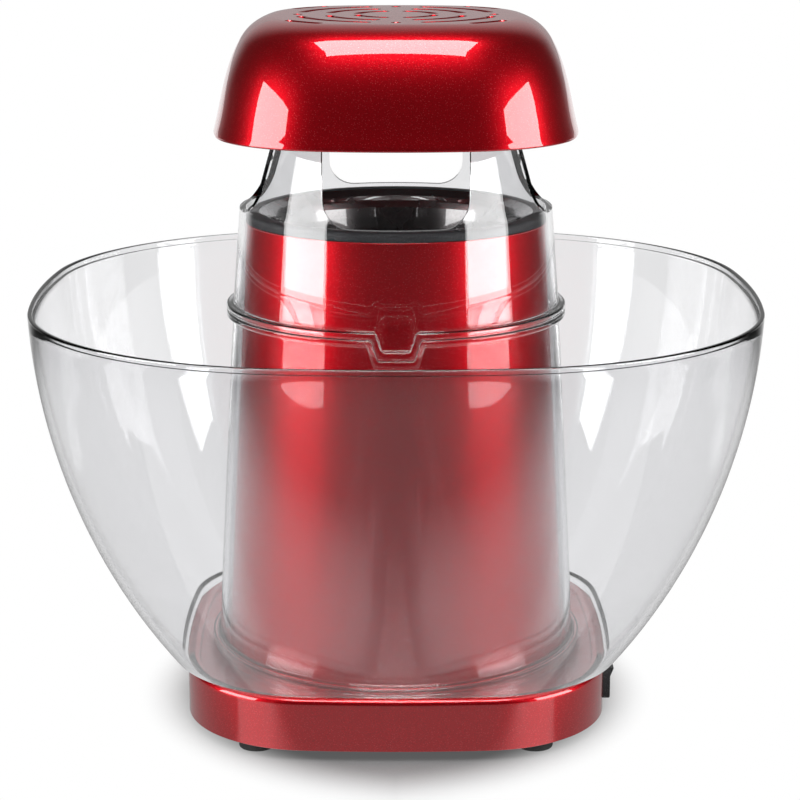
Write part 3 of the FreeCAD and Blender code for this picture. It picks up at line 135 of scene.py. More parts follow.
EVEN = turn_angles(224, 32, math.radians(45))
KEYED = turn_angles(220, 72, math.radians(12))


def plan_radius(angle, half, side, corner):
    """Distance from the middle to a bowed square's outline in one direction."""
    quarter = math.pi / 2
    turn = abs((angle + quarter / 2) % quarter - quarter / 2)
    middle = half - side
    gap = side - corner
    centre = (middle + math.sqrt(2 * gap ** 2 - middle ** 2)) / 2
    tangent = math.atan2(side * centre / gap, middle + side * (centre - middle) / gap)
    place, radius = ((middle, 0.0), side) if turn < tangent else ((centre, centre), corner)
    along = math.cos(turn) * place[0] + math.sin(turn) * place[1]
    return along + math.sqrt(along ** 2 - place[0] ** 2 - place[1] ** 2 + radius ** 2)


def round_plan(angle, ring):
    """A round plan, the same in every direction."""
    return ring.reach


def base_plan(angle, ring):
    """The base's bowed square, blended towards a circle on rings that are less square."""
    outline = plan_radius(angle, ring.reach, BASE_SIDE - ring.inset, BASE_CORNER - ring.inset)
    return ring.reach + (outline - ring.reach) * ring.square


def bowl_plan(angle, ring):
    """The bowl's plan grows rounder from the foot to the rim."""
    if not ring.square:
        return ring.reach
    share = (ring.reach + ring.inset - BASE_HALF) / (BOWL_RIM - BASE_HALF)
    side = BASE_SIDE + (BOWL_SIDE - BASE_SIDE) * share
    corner = BASE_CORNER + (BOWL_CORNER - BASE_CORNER) * share
    return plan_radius(angle, ring.reach, side - ring.inset, corner - ring.inset)


def cap_plan(angle, ring):
    """The cap's bowed square, whose curves shrink with its width."""
    share = (ring.reach + ring.inset) / CAP_HALF
    return plan_radius(angle, ring.reach, CAP_SIDE * share - ring.inset, CAP_CORNER * share - ring.inset)


def key_drop(x, y, grow):
    """How far the collar's edge dips at the key, with soft corners."""
    if y > 0:
        return 0.0
    share = (KEY_TOP + grow - abs(x)) / (KEY_TOP - KEY_FLOOR)
    share = min(max(share, 0.0), 1.0)
    return (KEY_DEPTH + grow * KEY_SINK) * share * share * (3 - 2 * share)


def rounded(profile, closed, steps=5):
    """Round each corner of a profile by its own radius."""
    made = []
    for number, ring in enumerate(profile):
        at_end = not closed and number in (0, len(profile) - 1)
        if not ring.round or at_end:
            made.append(ring)
            continue
        corner = Vector((ring.reach, ring.height))
        before, after = profile[number - 1], profile[(number + 1) % len(profile)]
        back = Vector((before.reach, before.height)) - corner
        ahead = Vector((after.reach, after.height)) - corner
        reach = ring.round / math.tan(back.angle(ahead) / 2)
        start = corner + back.normalized() * min(reach, back.length * 0.48)
        end = corner + ahead.normalized() * min(reach, ahead.length * 0.48)
        for step in range(steps + 1):
            t = step / steps
            spot = start * (1 - t) ** 2 + corner * (2 * t * (1 - t)) + end * t ** 2
            made.append(ring._replace(reach=spot.x, height=spot.y))
    return made


def ring_points(ring, plan, angles):
    """The points of one ring in millimetres, dipped at the key where it has one."""
    points = []
    for angle in angles:
        radius = plan(angle, ring) if ring.reach else 0.0
        x, y = radius * math.cos(angle), radius * math.sin(angle)
        drop = 0.0 if ring.key is None else key_drop(x, y, ring.key)
        points.append((x, y, ring.height - drop))
    return points


def new_mesh(name, loops, closed):
    """A mesh of quads between loops of equally many points, in millimetres."""
    count = len(loops[0])
    vertices = [Vector(point) * MM for loop in loops for point in loop]
    faces = []
    for row in range(len(loops) if closed else len(loops) - 1):
        low, high = row * count, (row + 1) % len(loops) * count
        for here in range(count):
            there = (here + 1) % count
            faces.append((low + here, low + there, high + there, high + here))
    mesh = bpy.data.meshes.new(name)
    mesh.from_pydata(vertices, [], faces)
    tidy = bmesh.new()
    tidy.from_mesh(mesh)
    bmesh.ops.remove_doubles(tidy, verts=tidy.verts, dist=1e-7)
    bmesh.ops.holes_fill(tidy, edges=tidy.edges, sides=0)
    bmesh.ops.recalc_face_normals(tidy, faces=tidy.faces)
    tidy.to_mesh(mesh)
    tidy.free()
    return mesh


def shell(name, profile, plan, angles, closed=True):
    """A mesh lofted through a profile's rings, with its corners rounded."""
    return new_mesh(name, [ring_points(ring, plan, angles) for ring in rounded(profile, closed)], closed)


def finish_surface(piece, material, sharp=38):
    """One material all over, and smooth shading except at edges sharper than an angle."""
    piece.data.materials.clear()
    piece.data.materials.append(material)
    piece.data.shade_smooth()
    piece.data.set_sharp_from_angle(angle=math.radians(sharp))


def new_piece(name, mesh, material, body, nodes=()):
    """Put a mesh in the scene on its body, in place of the CAD nodes that it stands for."""
    piece = bpy.data.objects.new(name, mesh)
    bpy.context.scene.collection.objects.link(piece)
    finish_surface(piece, material)
    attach(piece, body)
    if nodes:
        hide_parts(*nodes)
    return piece


def new_tool(name, loops, place=None):
    """A closed solid to carve with."""
    mesh = new_mesh(name, loops, False)
    if place is not None:
        mesh.transform(place)
    return bpy.data.objects.new(name, mesh)


def carve(piece, tools):
    """Cut closed tools out of a piece and keep the result as its mesh."""
    for tool in tools:
        bpy.context.scene.collection.objects.link(tool)
        cutter = piece.modifiers.new("cut", "BOOLEAN")
        cutter.object = tool
        cutter.solver = "EXACT"
    bpy.context.view_layer.update()
    graph = bpy.context.evaluated_depsgraph_get()
    carved = bpy.data.meshes.new_from_object(piece.evaluated_get(graph))
    material = piece.data.materials[0]
    piece.modifiers.clear()
    piece.data = carved
    finish_surface(piece, material)
    for tool in tools:
        bpy.data.objects.remove(tool)


# Materials


def new_material(name, color, roughness, **values):
    """A Principled material; other sockets are given by name with _ for spaces."""
    material = bpy.data.materials.new(name)
    material.use_nodes = True
    shader = material.node_tree.nodes["Principled BSDF"]
    shader.inputs["Base Color"].default_value = (*color, 1.0)
    shader.inputs["Roughness"].default_value = roughness
    for socket, value in values.items():
        shader.inputs[socket.replace("_", " ")].default_value = value
    return material


def add_node(material, kind, **inputs):
    """A new node; its sockets are given by name with _ for spaces."""
    node = material.node_tree.nodes.new(kind)
    for socket, value in inputs.items():
        node.inputs[socket.replace("_", " ")].default_value = value
    return node


def object_noise(material, scale, detail=3.0):
    """Noise in the object's own space, with its scale per metre."""
    place = add_node(material, "ShaderNodeTexCoord")
    noise = add_node(material, "ShaderNodeTexNoise", Scale=scale, Detail=detail)
    material.node_tree.links.new(place.outputs["Object"], noise.inputs["Vector"])
    return noise


def add_bump(material, height, strength, distance_mm):
    """Fine relief from a height."""
    shader = material.node_tree.nodes["Principled BSDF"]
    bump = add_node(material, "ShaderNodeBump", Strength=strength, Distance=distance_mm * MM)
    material.node_tree.links.new(height, bump.inputs["Height"])
    material.node_tree.links.new(bump.outputs["Normal"], shader.inputs["Normal"])


def add_ramp(material, source, target, low, high):
    """Drive a shader socket between two values, or two colours, by a source."""
    ramp = add_node(material, "ShaderNodeValToRGB")
    for element, value in zip(ramp.color_ramp.elements, (low, high)):
        element.color = (*value, 1.0) if isinstance(value, tuple) else (value, value, value, 1.0)
    ramp.color_ramp.elements[0].position = 0.35
    ramp.color_ramp.elements[1].position = 0.65
    shader = material.node_tree.nodes["Principled BSDF"]
    material.node_tree.links.new(source, ramp.inputs["Fac"])
    material.node_tree.links.new(ramp.outputs["Color"], shader.inputs[target])


def add_flecks(material, color, scale):
    """Sparse bright specks over what the shader's base colour is so far."""
    links, shader = material.node_tree.links, material.node_tree.nodes["Principled BSDF"]
    place = add_node(material, "ShaderNodeTexCoord")
    cells = add_node(material, "ShaderNodeTexVoronoi", Scale=scale)
    links.new(place.outputs["Object"], cells.inputs["Vector"])
    fade = add_node(material, "ShaderNodeValToRGB")
    for element, position, value in zip(fade.color_ramp.elements, (0.12, 0.26), (1.0, 0.0)):
        element.position, element.color = position, (value, value, value, 1.0)
    links.new(cells.outputs["Distance"], fade.inputs["Fac"])
    mixed = add_node(material, "ShaderNodeMixRGB", Color2=(*color, 1.0))
    links.new(fade.outputs["Color"], mixed.inputs["Fac"])
    links.new(shader.inputs["Base Color"].links[0].from_socket, mixed.inputs["Color1"])
    links.new(mixed.outputs["Color"], shader.inputs["Base Color"])


def mix_shaders(material, share, first, second):
    """Show the first shader where the share is 0 and the second where it is 1."""
    links = material.node_tree.links
    mixed = add_node(material, "ShaderNodeMixShader")
    for source, socket in zip((share, first, second), mixed.inputs):
        links.new(source, socket)
    links.new(mixed.outputs["Shader"], material.node_tree.nodes["Material Output"].inputs["Surface"])


def candy_red():
    """Metallic red lacquer: fine flakes under a clear coat."""
    material = new_material("candy_red", (0.5, 0.001, 0.008), 0.36, Metallic=0.95, Coat_Weight=1.0,
                            Coat_Roughness=0.02, Coat_IOR=1.75)
    flakes = object_noise(material, 3200.0, 1.0)
    add_ramp(material, flakes.outputs["Fac"], "Base Color", (0.42, 0.001, 0.006), (0.60, 0.002, 0.010))
    add_flecks(material, (0.72, 0.05, 0.06), 1300.0)
    add_bump(material, flakes.outputs["Fac"], 0.3, 0.05)
    return material


def clear_plastic():
    """Clear moulded plastic that lets the lamps through."""
    material = new_material("clear_plastic", (0.865, 0.865, 0.875), 0.02, Transmission_Weight=1.0, IOR=1.6)
    ripple = object_noise(material, 30.0, 2.0)
    add_bump(material, ripple.outputs["Fac"], 0.03, 0.3)
    add_ramp(material, object_noise(material, 260.0).outputs["Fac"], "Roughness", 0.006, 0.018)
    light = add_node(material, "ShaderNodeLightPath")
    through = add_node(material, "ShaderNodeBsdfTransparent", Color=(0.88, 0.88, 0.89, 1.0))
    plastic = material.node_tree.nodes["Principled BSDF"].outputs["BSDF"]
    mix_shaders(material, light.outputs["Is Shadow Ray"], plastic, through.outputs["BSDF"])
    return material


def grained(name, color, roughness, scale, strength, spread=0.35, **values):
    """A surface with a fine grain in its colour, gloss and relief."""
    material = new_material(name, color, roughness, **values)
    grain = object_noise(material, scale)
    dark = tuple(channel * (1 - spread) for channel in color)
    light = tuple(min(channel * (1 + spread), 1.0) for channel in color)
    add_ramp(material, grain.outputs["Fac"], "Base Color", dark, light)
    blotches = object_noise(material, scale / 12)
    add_ramp(material, blotches.outputs["Fac"], "Roughness", roughness * 0.85, min(roughness * 1.15, 1.0))
    add_bump(material, grain.outputs["Fac"], strength, 0.08)
    return material


RED = candy_red()
CLEAR = clear_plastic()
BLACK = grained("black_plastic", (0.016, 0.016, 0.018), 0.5, 1500.0, 0.35)
GLOSS = grained("black_gloss", (0.012, 0.012, 0.013), 0.22, 900.0, 0.04)
DISH = grained("chamber_metal", (0.09, 0.084, 0.085), 0.26, 900.0, 0.02, 0.12, Metallic=0.9, Coat_Weight=1.0,
               Coat_Roughness=0.02, Coat_IOR=1.7)
RUBBER = grained("rubber", (0.014, 0.014, 0.014), 0.7, 1800.0, 0.3)
STEEL = grained("steel", (0.55, 0.55, 0.57), 0.3, 1400.0, 0.08, 0.12, Metallic=1.0)
HEAT = grained("heat_plastic", (0.09, 0.083, 0.075), 0.55, 1200.0, 0.25)
MICA = grained("mica", (0.5, 0.44, 0.34), 0.4, 350.0, 0.12, 0.3)
BRASS = grained("brass", (0.72, 0.5, 0.2), 0.3, 1200.0, 0.08, 0.15, Metallic=1.0)
BOARD = grained("board", (0.2, 0.15, 0.06), 0.5, 700.0, 0.1)
WIRE_WHITE = grained("wire_white", (0.7, 0.7, 0.67), 0.5, 900.0, 0.1, 0.08)
WIRE_DARK = grained("wire_dark", (0.16, 0.025, 0.02), 0.5, 900.0, 0.1, 0.2)
MARK = grained("mark_white", (0.85, 0.85, 0.85), 0.45, 1200.0, 0.05, 0.04)

SLOT_MATERIALS = {
    "red_plastic": RED, "clear_plastic": CLEAR, "black_plastic": BLACK, "black_gloss": GLOSS,
    "chamber_metal": DISH, "rubber": RUBBER, "steel": STEEL, "heat_plastic": HEAT, "mica": MICA,
    "brass": BRASS, "board": BOARD, "wire_white": WIRE_WHITE, "wire_dark": WIRE_DARK,
}


def dress_cad_nodes():
    """Every CAD node gets its slot's material; those that a new piece stands for are hidden later."""
    for part in frame["record"]["subparts"]:
        node = frame["nodes"][part["node"]]
        node.data.materials.clear()
        node.data.materials.append(SLOT_MATERIALS[part["material_slot"]])


# Pieces


def round_loop(x_half, low, high, bend, small, steps=10):
    """A rectangle with round corners, given the radius of its lower ones and of its upper ones."""
    corners = ((-x_half, low, bend, 180), (x_half, low, bend, 270),
               (x_half, high, small, 0), (-x_half, high, small, 90))
    points = []
    for x, z, radius, start in corners:
        centre_x = x - math.copysign(radius, x)
        centre_z = z + radius if z == low else z - radius
        for step in range(steps + 1):
            angle = math.radians(start + 90 * step / steps)
            points.append((centre_x + radius * math.cos(angle), centre_z + radius * math.sin(angle)))
    return points


def upright_loop(x, y_half, z_half, bend):
    """A rounded rectangle facing sideways, round the switch's middle."""
    return [(x, y, z) for y, z in round_loop(y_half, -z_half, z_half, bend, bend, 6)]


def tower_radius(height):
    """Outside radius of the tapered tower at a height."""
    share = (height - DECK_LOW) / (TOWER_TOP - DECK_LOW)
    return TOWER_FOOT + (TOWER_NECK - TOWER_FOOT) * share


def make_base():
    """Base cover: a rolled top edge round the sunk deck, and holes for the tower and the switch."""
    recess = BASE_HALF - BASE_LAND
    cavity = BASE_HALF - BASE_WALL
    mouth = TOWER_FOOT + FIT
    profile = [
        Ring(BASE_HALF, BASE_LOW, SMALL, SQUARE), Ring(BASE_HALF, BASE_TOP, BASE_EDGE, SQUARE),
        Ring(recess, BASE_TOP, SOFT, SQUARE, BASE_LAND), Ring(recess, DECK_TOP, SMALL, SQUARE, BASE_LAND),
        Ring(mouth, DECK_TOP, FINE), Ring(mouth, DECK_LOW), Ring(cavity, DECK_LOW, 0.0, SQUARE, BASE_WALL),
        Ring(cavity, BASE_LOW, FINE, SQUARE, BASE_WALL)]
    mesh = shell("base_cover", profile, base_plan, EVEN)
    piece = new_piece("base_cover", mesh, RED, "base", ["base_housing"])
    hole = [upright_loop(x, TRUNK_WIDE + SEAM, TRUNK_HIGH + SEAM, SOFT)
            for x in (-SWITCH_DEPTH, SWITCH_DEPTH)]
    carve(piece, [new_tool("switch_tool", hole, AT_SWITCH)])


def make_tower():
    """Red tapered skin, and the black ring on its top with a ledge for the chamber's lip."""
    inner_foot = tower_radius(FLANGE_LOW) - TOWER_WALL
    skin_top = SKIN_TOP - SEAM
    profile = [
        Ring(inner_foot, FLANGE_LOW), Ring(FLANGE, FLANGE_LOW), Ring(FLANGE, DECK_LOW),
        Ring(TOWER_FOOT, DECK_LOW), Ring(TOWER_NECK, skin_top, SOFT),
        Ring(TOWER_NECK - TOWER_WALL, skin_top, FINE)]
    mesh = shell("tower_skin", profile, round_plan, EVEN)
    new_piece("tower_skin", mesh, RED, "base", ["tower_shell"])

    spigot = TOWER_NECK - TOWER_WALL - FIT
    profile = [
        Ring(RIM_THROAT, RIM_SKIRT, FINE), Ring(spigot, RIM_SKIRT, FINE), Ring(spigot, SKIN_TOP),
        Ring(TOWER_NECK, SKIN_TOP, FINE), Ring(TOWER_NECK, RIM_TOP, RIM_ROUND),
        Ring(RIM_LIP, RIM_TOP, RIM_LIP_ROUND), Ring(RIM_LIP, RIM_LEDGE, TINY),
        Ring(RIM_THROAT, RIM_LEDGE, FINE)]
    mesh = shell("tower_ring", profile, round_plan, EVEN)
    new_piece("tower_ring", mesh, BLACK, "base", ["tower_rim"])


def make_cup():
    """Popping chamber: a flared mouth, a straight wall with slanted air slots and a domed floor."""
    edge = CUP_FLOOR - CUP_BEND
    floor = CUP_LOW + CUP_WALL
    side = [Ring(reach, height, CUP_MOUTH_ROUND) for reach, height in CUP_MOUTH]
    side += [Ring(CUP_FLOOR, CUP_STRAIGHT), Ring(CUP_FLOOR, floor, CUP_BEND), Ring(edge, floor)]
    side = rounded(side, False, 6)
    shares = [step / DOME_STEPS for step in reversed(range(DOME_STEPS))]
    dome = [Ring(edge * share, floor + CUP_DOME * (1 - share ** 2)) for share in shares]
    outside = [Ring(ring.reach + CUP_WALL, ring.height) for ring in side if ring.height > CUP_LOW + CUP_BEND]
    under = [Ring(edge + CUP_WALL * 2, CUP_LOW), Ring(edge, CUP_LOW)]
    under += [ring._replace(height=ring.height - CUP_WALL) for ring in dome]
    lip = [Ring(side[0].reach, RIM_LEDGE), Ring(outside[CUP_LIP_RING].reach, RIM_LEDGE)]
    low = [ring for ring in outside if ring.height < RIM_LEDGE - CUP_LIP_GAP]
    profile = dome[::-1] + side[::-1] + lip + low + under
    loops = [ring_points(ring, round_plan, EVEN) for ring in profile]
    piece = new_piece("chamber_cup", new_mesh("chamber_cup", loops, False), DISH, "base",
                      ["popping_chamber"])
    tilt = Matrix.Rotation(math.radians(LOUVRE_TILT), 4, "X")
    lift = Matrix.Translation(Vector((0.0, 0.0, CUP_LOW + LOUVRE_RISE)) * MM)
    slot = [[(x, -LOUVRE_HALF, -LOUVRE_LONG), (x, LOUVRE_HALF, -LOUVRE_LONG),
             (x, LOUVRE_HALF, LOUVRE_LONG), (x, -LOUVRE_HALF, LOUVRE_LONG)]
            for x in (CUP_FLOOR - LOUVRE_INWARD, CUP_FLOOR + LOUVRE_OUTWARD)]
    turns = [Matrix.Rotation(2 * math.pi * number / LOUVRES, 4, "Z") for number in range(LOUVRES)]
    carve(piece, [new_tool("louvre_tool", slot, turn @ lift @ tilt) for turn in turns])


def bowl_half(height, inset=0.0):
    """Half-width of the bowl's curved wall at a height, or of a face inside it."""
    offset = BOWL_RIM - math.sqrt(BOWL_CURVE ** 2 - (BOWL_CURVE_Z - BOWL_TOP) ** 2)
    return offset + math.sqrt((BOWL_CURVE - inset) ** 2 - (BOWL_CURVE_Z - height) ** 2)


def make_bowl(stations=26):
    """Clear bowl: foot, bowed wall with a stepped rim, and the collar with its keyed flange."""
    rises = [number / stations for number in range(1, stations)]
    heights = [BOWL_FLOOR_TOP + (BOWL_TOP - BOWL_FLOOR_TOP) * rise for rise in rises]
    inner = tower_radius(COLLAR_TOP) + COLLAR_GAP
    inner_foot = tower_radius(BOWL_FLOOR_LOW) + COLLAR_GAP
    reach = COLLAR_GAP + COLLAR_WALL
    bend = COLLAR_TOP - 2 * KEY_DEPTH
    top = COLLAR_TOP - SEAM
    under = top - COLLAR_THICK
    spread = COLLAR_THICK * KEY_SPREAD
    foot_low = DECK_TOP + SEAM
    lip = BOWL_WALL - BOWL_STEP
    step = BOWL_TOP - BOWL_STEP_DEPTH
    profile = [
        Ring(inner, top, SOFT, key=0.0), Ring(tower_radius(bend) + COLLAR_GAP, bend),
        Ring(inner_foot, BOWL_FLOOR_LOW, EASED), Ring(BOWL_FOOT - BOWL_FOOT_WALL, BOWL_FLOOR_LOW, FINE),
        Ring(BOWL_FOOT - BOWL_FOOT_WALL, foot_low, SMALL), Ring(BOWL_FOOT, foot_low, SMALL),
        Ring(BOWL_FOOT, BOWL_FLOOR_LOW, FINE),
        Ring(BOWL_FLOOR_EDGE, BOWL_FLOOR_LOW, FLOOR_EDGE_ROUND, SQUARE),
        Ring(bowl_half(BOWL_FLOOR_TOP), BOWL_FLOOR_TOP, FLOOR_OUTER_ROUND, SQUARE)]
    profile += [Ring(bowl_half(height), height, 0.0, SQUARE) for height in heights]
    profile += [
        Ring(bowl_half(BOWL_TOP), BOWL_TOP, BOWL_RIM_ROUND, SQUARE),
        Ring(bowl_half(BOWL_TOP, lip), BOWL_TOP, BOWL_RIM_ROUND, SQUARE, lip),
        Ring(bowl_half(step, lip), step, FINE, SQUARE, lip),
        Ring(bowl_half(step, BOWL_WALL), step, SMALL, SQUARE, BOWL_WALL)]
    profile += [Ring(bowl_half(height, BOWL_WALL), height, 0.0, SQUARE, BOWL_WALL)
                for height in reversed(heights) if height < step - BOWL_STEP_GAP]
    profile += [
        Ring(bowl_half(BOWL_FLOOR_TOP, BOWL_WALL), BOWL_FLOOR_TOP, FLOOR_INNER_ROUND, SQUARE, BOWL_WALL),
        Ring(tower_radius(BOWL_FLOOR_TOP) + reach, BOWL_FLOOR_TOP, COLLAR_FOOT_ROUND),
        Ring(tower_radius(bend) + reach, bend), Ring(tower_radius(under) + reach, under, BLUNT, key=spread),
        Ring(COLLAR_FLANGE, under, FULL, key=spread), Ring(COLLAR_FLANGE, top, BLUNT, key=0.0)]
    mesh = shell("bowl_clear", profile, bowl_plan, KEYED)
    new_piece("bowl_clear", mesh, CLEAR, "bowl", ["bowl"])


def make_chimney():
    """Clear chimney: keyed flange, tapered tube, cone with four windows and a neck."""
    low = COLLAR_TOP + SEAM
    flange_top = COLLAR_TOP + CHIMNEY_THICK
    waist = COLLAR_TOP + CHIMNEY_WAIST
    slope = (CHIMNEY_SHOULDER - CHIMNEY_FOOT) / (CHIMNEY_SHOULDER_Z - flange_top)
    waist_radius = CHIMNEY_FOOT + slope * (waist - flange_top)
    spread = -CHIMNEY_THICK * KEY_SPREAD
    wall = CHIMNEY_WALL
    cone = [(CHIMNEY_SHOULDER + (CHIMNEY_NECK - CHIMNEY_SHOULDER) * row / CONE_ROWS,
             CHIMNEY_SHOULDER_Z + (CHIMNEY_NECK_Z - CHIMNEY_SHOULDER_Z) * row / CONE_ROWS)
            for row in range(CONE_START, CONE_ROWS)]
    outside = [
        Ring(COLLAR_FLANGE, low, BLUNT, key=0.0),
        Ring(COLLAR_FLANGE, flange_top, CHIMNEY_FLANGE_ROUND, key=spread),
        Ring(CHIMNEY_FOOT, flange_top, BLUNT, key=spread), Ring(waist_radius, waist),
        Ring(CHIMNEY_SHOULDER, CHIMNEY_SHOULDER_Z, SHOULDER_ROUND)]
    outside += [Ring(radius, height) for radius, height in cone]
    outside += [Ring(CHIMNEY_NECK, CHIMNEY_NECK_Z, NECK_ROUND), Ring(CHIMNEY_NECK, CHIMNEY_TOP, EASED)]
    inside = [Ring(CHIMNEY_NECK - wall, CHIMNEY_TOP, EASED),
              Ring(CHIMNEY_NECK - wall, CHIMNEY_NECK_Z, NECK_ROUND)]
    inside += [Ring(radius - wall, height) for radius, height in reversed(cone)]
    inside += [
        Ring(CHIMNEY_SHOULDER - wall, CHIMNEY_SHOULDER_Z, SHOULDER_ROUND), Ring(waist_radius - wall, waist),
        Ring(CHIMNEY_FOOT - wall, low, SOFT, key=0.0)]
    mesh = shell("chimney_clear", outside + inside, round_plan, KEYED)
    piece = new_piece("chimney_clear", mesh, CLEAR, "chimney", ["chimney"])
    loop = round_loop(WINDOW_HALF, WINDOW_SILL, WINDOW_HEAD, WINDOW_BEND, WINDOW_BEND / 3)
    far = COLLAR_FLANGE * 1.2
    along = [[(x, y, z) for x, z in loop] for y in (-far, far)]
    across = [[(y, x, z) for x, z in loop] for y in (-far, far)]
    carve(piece, [new_tool("window_tool", loops) for loops in (along, across)])


def cap_side(t):
    """Half-width and rise of the cap's flank, a smooth curve from its edge to its shoulder."""
    span = CAP_SHOULDER_RISE
    reach = ((2 * t ** 3 - 3 * t ** 2 + 1) * CAP_HALF + (t ** 3 - 2 * t ** 2 + t) * span * CAP_SLOPE_LOW
             + (3 * t ** 2 - 2 * t ** 3) * CAP_SHOULDER + (t ** 3 - t ** 2) * span * CAP_SLOPE_HIGH)
    return reach, span * t


def cap_curve(inset):
    """Rings of the cap's wall from its edge to the flat top."""
    start = math.radians(CAP_ROUND_START)
    centre_x = CAP_SHOULDER - CAP_ROUND * math.cos(start)
    centre_z = CAP_SHOULDER_RISE - CAP_ROUND * math.sin(start)
    rings = []
    for step in range(CAP_SIDE_STEPS):
        reach, rise = cap_side(step / CAP_SIDE_STEPS)
        rings.append(Ring(reach - inset, CAP_LOW + rise, 0.0, SQUARE, inset))
    for step in range(CAP_ROUND_STEPS + 1):
        angle = start + (math.pi / 2 - start) * step / CAP_ROUND_STEPS
        rings.append(Ring(centre_x + (CAP_ROUND - inset) * math.cos(angle),
                          CAP_LOW + centre_z + (CAP_ROUND - inset) * math.sin(angle), 0.0, SQUARE, inset))
    return rings


def slot_loop(radius, half, sweep, middle, steps=20, end_steps=8):
    """A curved slot with round ends in the cap's top."""
    start, end = (math.radians(middle + side * sweep / 2) for side in (-1, 1))

    def side_points(reach, first, last):
        angles = [first + (last - first) * step / steps for step in range(steps + 1)]
        return [(reach * math.cos(angle), reach * math.sin(angle)) for angle in angles]

    def end_points(place, turn):
        angles = [place + turn + math.pi * step / end_steps for step in range(1, end_steps)]
        return [(radius * math.cos(place) + half * math.cos(angle),
                 radius * math.sin(place) + half * math.sin(angle)) for angle in angles]

    return (side_points(radius + half, start, end) + end_points(end, 0.0)
            + side_points(radius - half, end, start) + end_points(start, math.pi))


def make_cap():
    """Red vented cap: a domed square shell with a rolled edge, and the socket inside it."""
    outer, inner = cap_curve(0.0), cap_curve(CAP_WALL)
    top, ceiling = outer[-1].height, inner[-1].height
    outer[0] = outer[0]._replace(round=FULL)
    inner[0] = inner[0]._replace(round=FULL)
    profile = [Ring(0.0, ceiling)] + inner[::-1] + outer + [Ring(0.0, top)]
    mesh = shell("cap_cover", profile, cap_plan, EVEN, closed=False)
    piece = new_piece("cap_cover", mesh, RED, "cap", ["cap_shell"])
    levels = ((ceiling - VENT_PAST, 0.0), (top - VENT_CHAMFER, 0.0), (top, VENT_CHAMFER),
              (top + VENT_PAST, VENT_CHAMFER))
    vents = [(radius, sweep, middle, 20) for radius, sweep in zip(VENT_RADII, VENT_SWEEPS)
             for middle in (45, 135, 225, 315)]
    vents += [(VENT_RADII[2], VENT_DOT_SWEEP, middle, 1) for middle in (0, 90, 180, 270)]
    tools = []
    for radius, sweep, middle, steps in vents:
        loops = [[(x, y, level) for x, y in slot_loop(radius, VENT_HALF + grow, sweep, middle, steps)]
                 for level, grow in levels]
        tools.append(new_tool("vent_tool", loops))
    carve(piece, tools)

    stop, grip = CHIMNEY_NECK - CHIMNEY_WALL, CHIMNEY_NECK + SOCKET_GAP
    seat, mouth = CHIMNEY_TOP + SEAM, CHIMNEY_TOP - SOCKET_DEPTH
    profile = [
        Ring(stop, seat, SMALL), Ring(grip, seat), Ring(grip, mouth, SMALL),
        Ring(grip + SOCKET_WALL, mouth, SMALL), Ring(grip + SOCKET_WALL, ceiling - SOCKET_SLANT),
        Ring(stop, ceiling - SOCKET_TOP_GAP)]
    mesh = shell("cap_socket", profile, round_plan, EVEN)
    new_piece("cap_socket", mesh, RED, "cap")


def make_feet():
    """Four rubber feet with a shallow groove underneath."""
    profile = [
        Ring(0.0, 0.0), Ring(FOOT_RADIUS * GROOVE_START, 0.0),
        Ring(FOOT_RADIUS * GROOVE_MIDDLE, GROOVE_DEPTH, TINY), Ring(FOOT_RADIUS * GROOVE_END, 0.0, TINY),
        Ring(FOOT_RADIUS, 0.0, FULL), Ring(FOOT_RADIUS, BASE_LOW, TINY), Ring(0.0, BASE_LOW)]
    for row, y in (("front", -FOOT_Y), ("rear", FOOT_Y)):
        for side, x in (("left", -FOOT_X), ("right", FOOT_X)):
            mesh = shell(f"rubber_{row}_{side}", profile, round_plan, EVEN[::4], closed=False)
            mesh.transform(Matrix.Translation(Vector((x, y, 0.0)) * MM))
            new_piece(f"rubber_{row}_{side}", mesh, RUBBER, "base", [f"foot_{row}_{side}"])


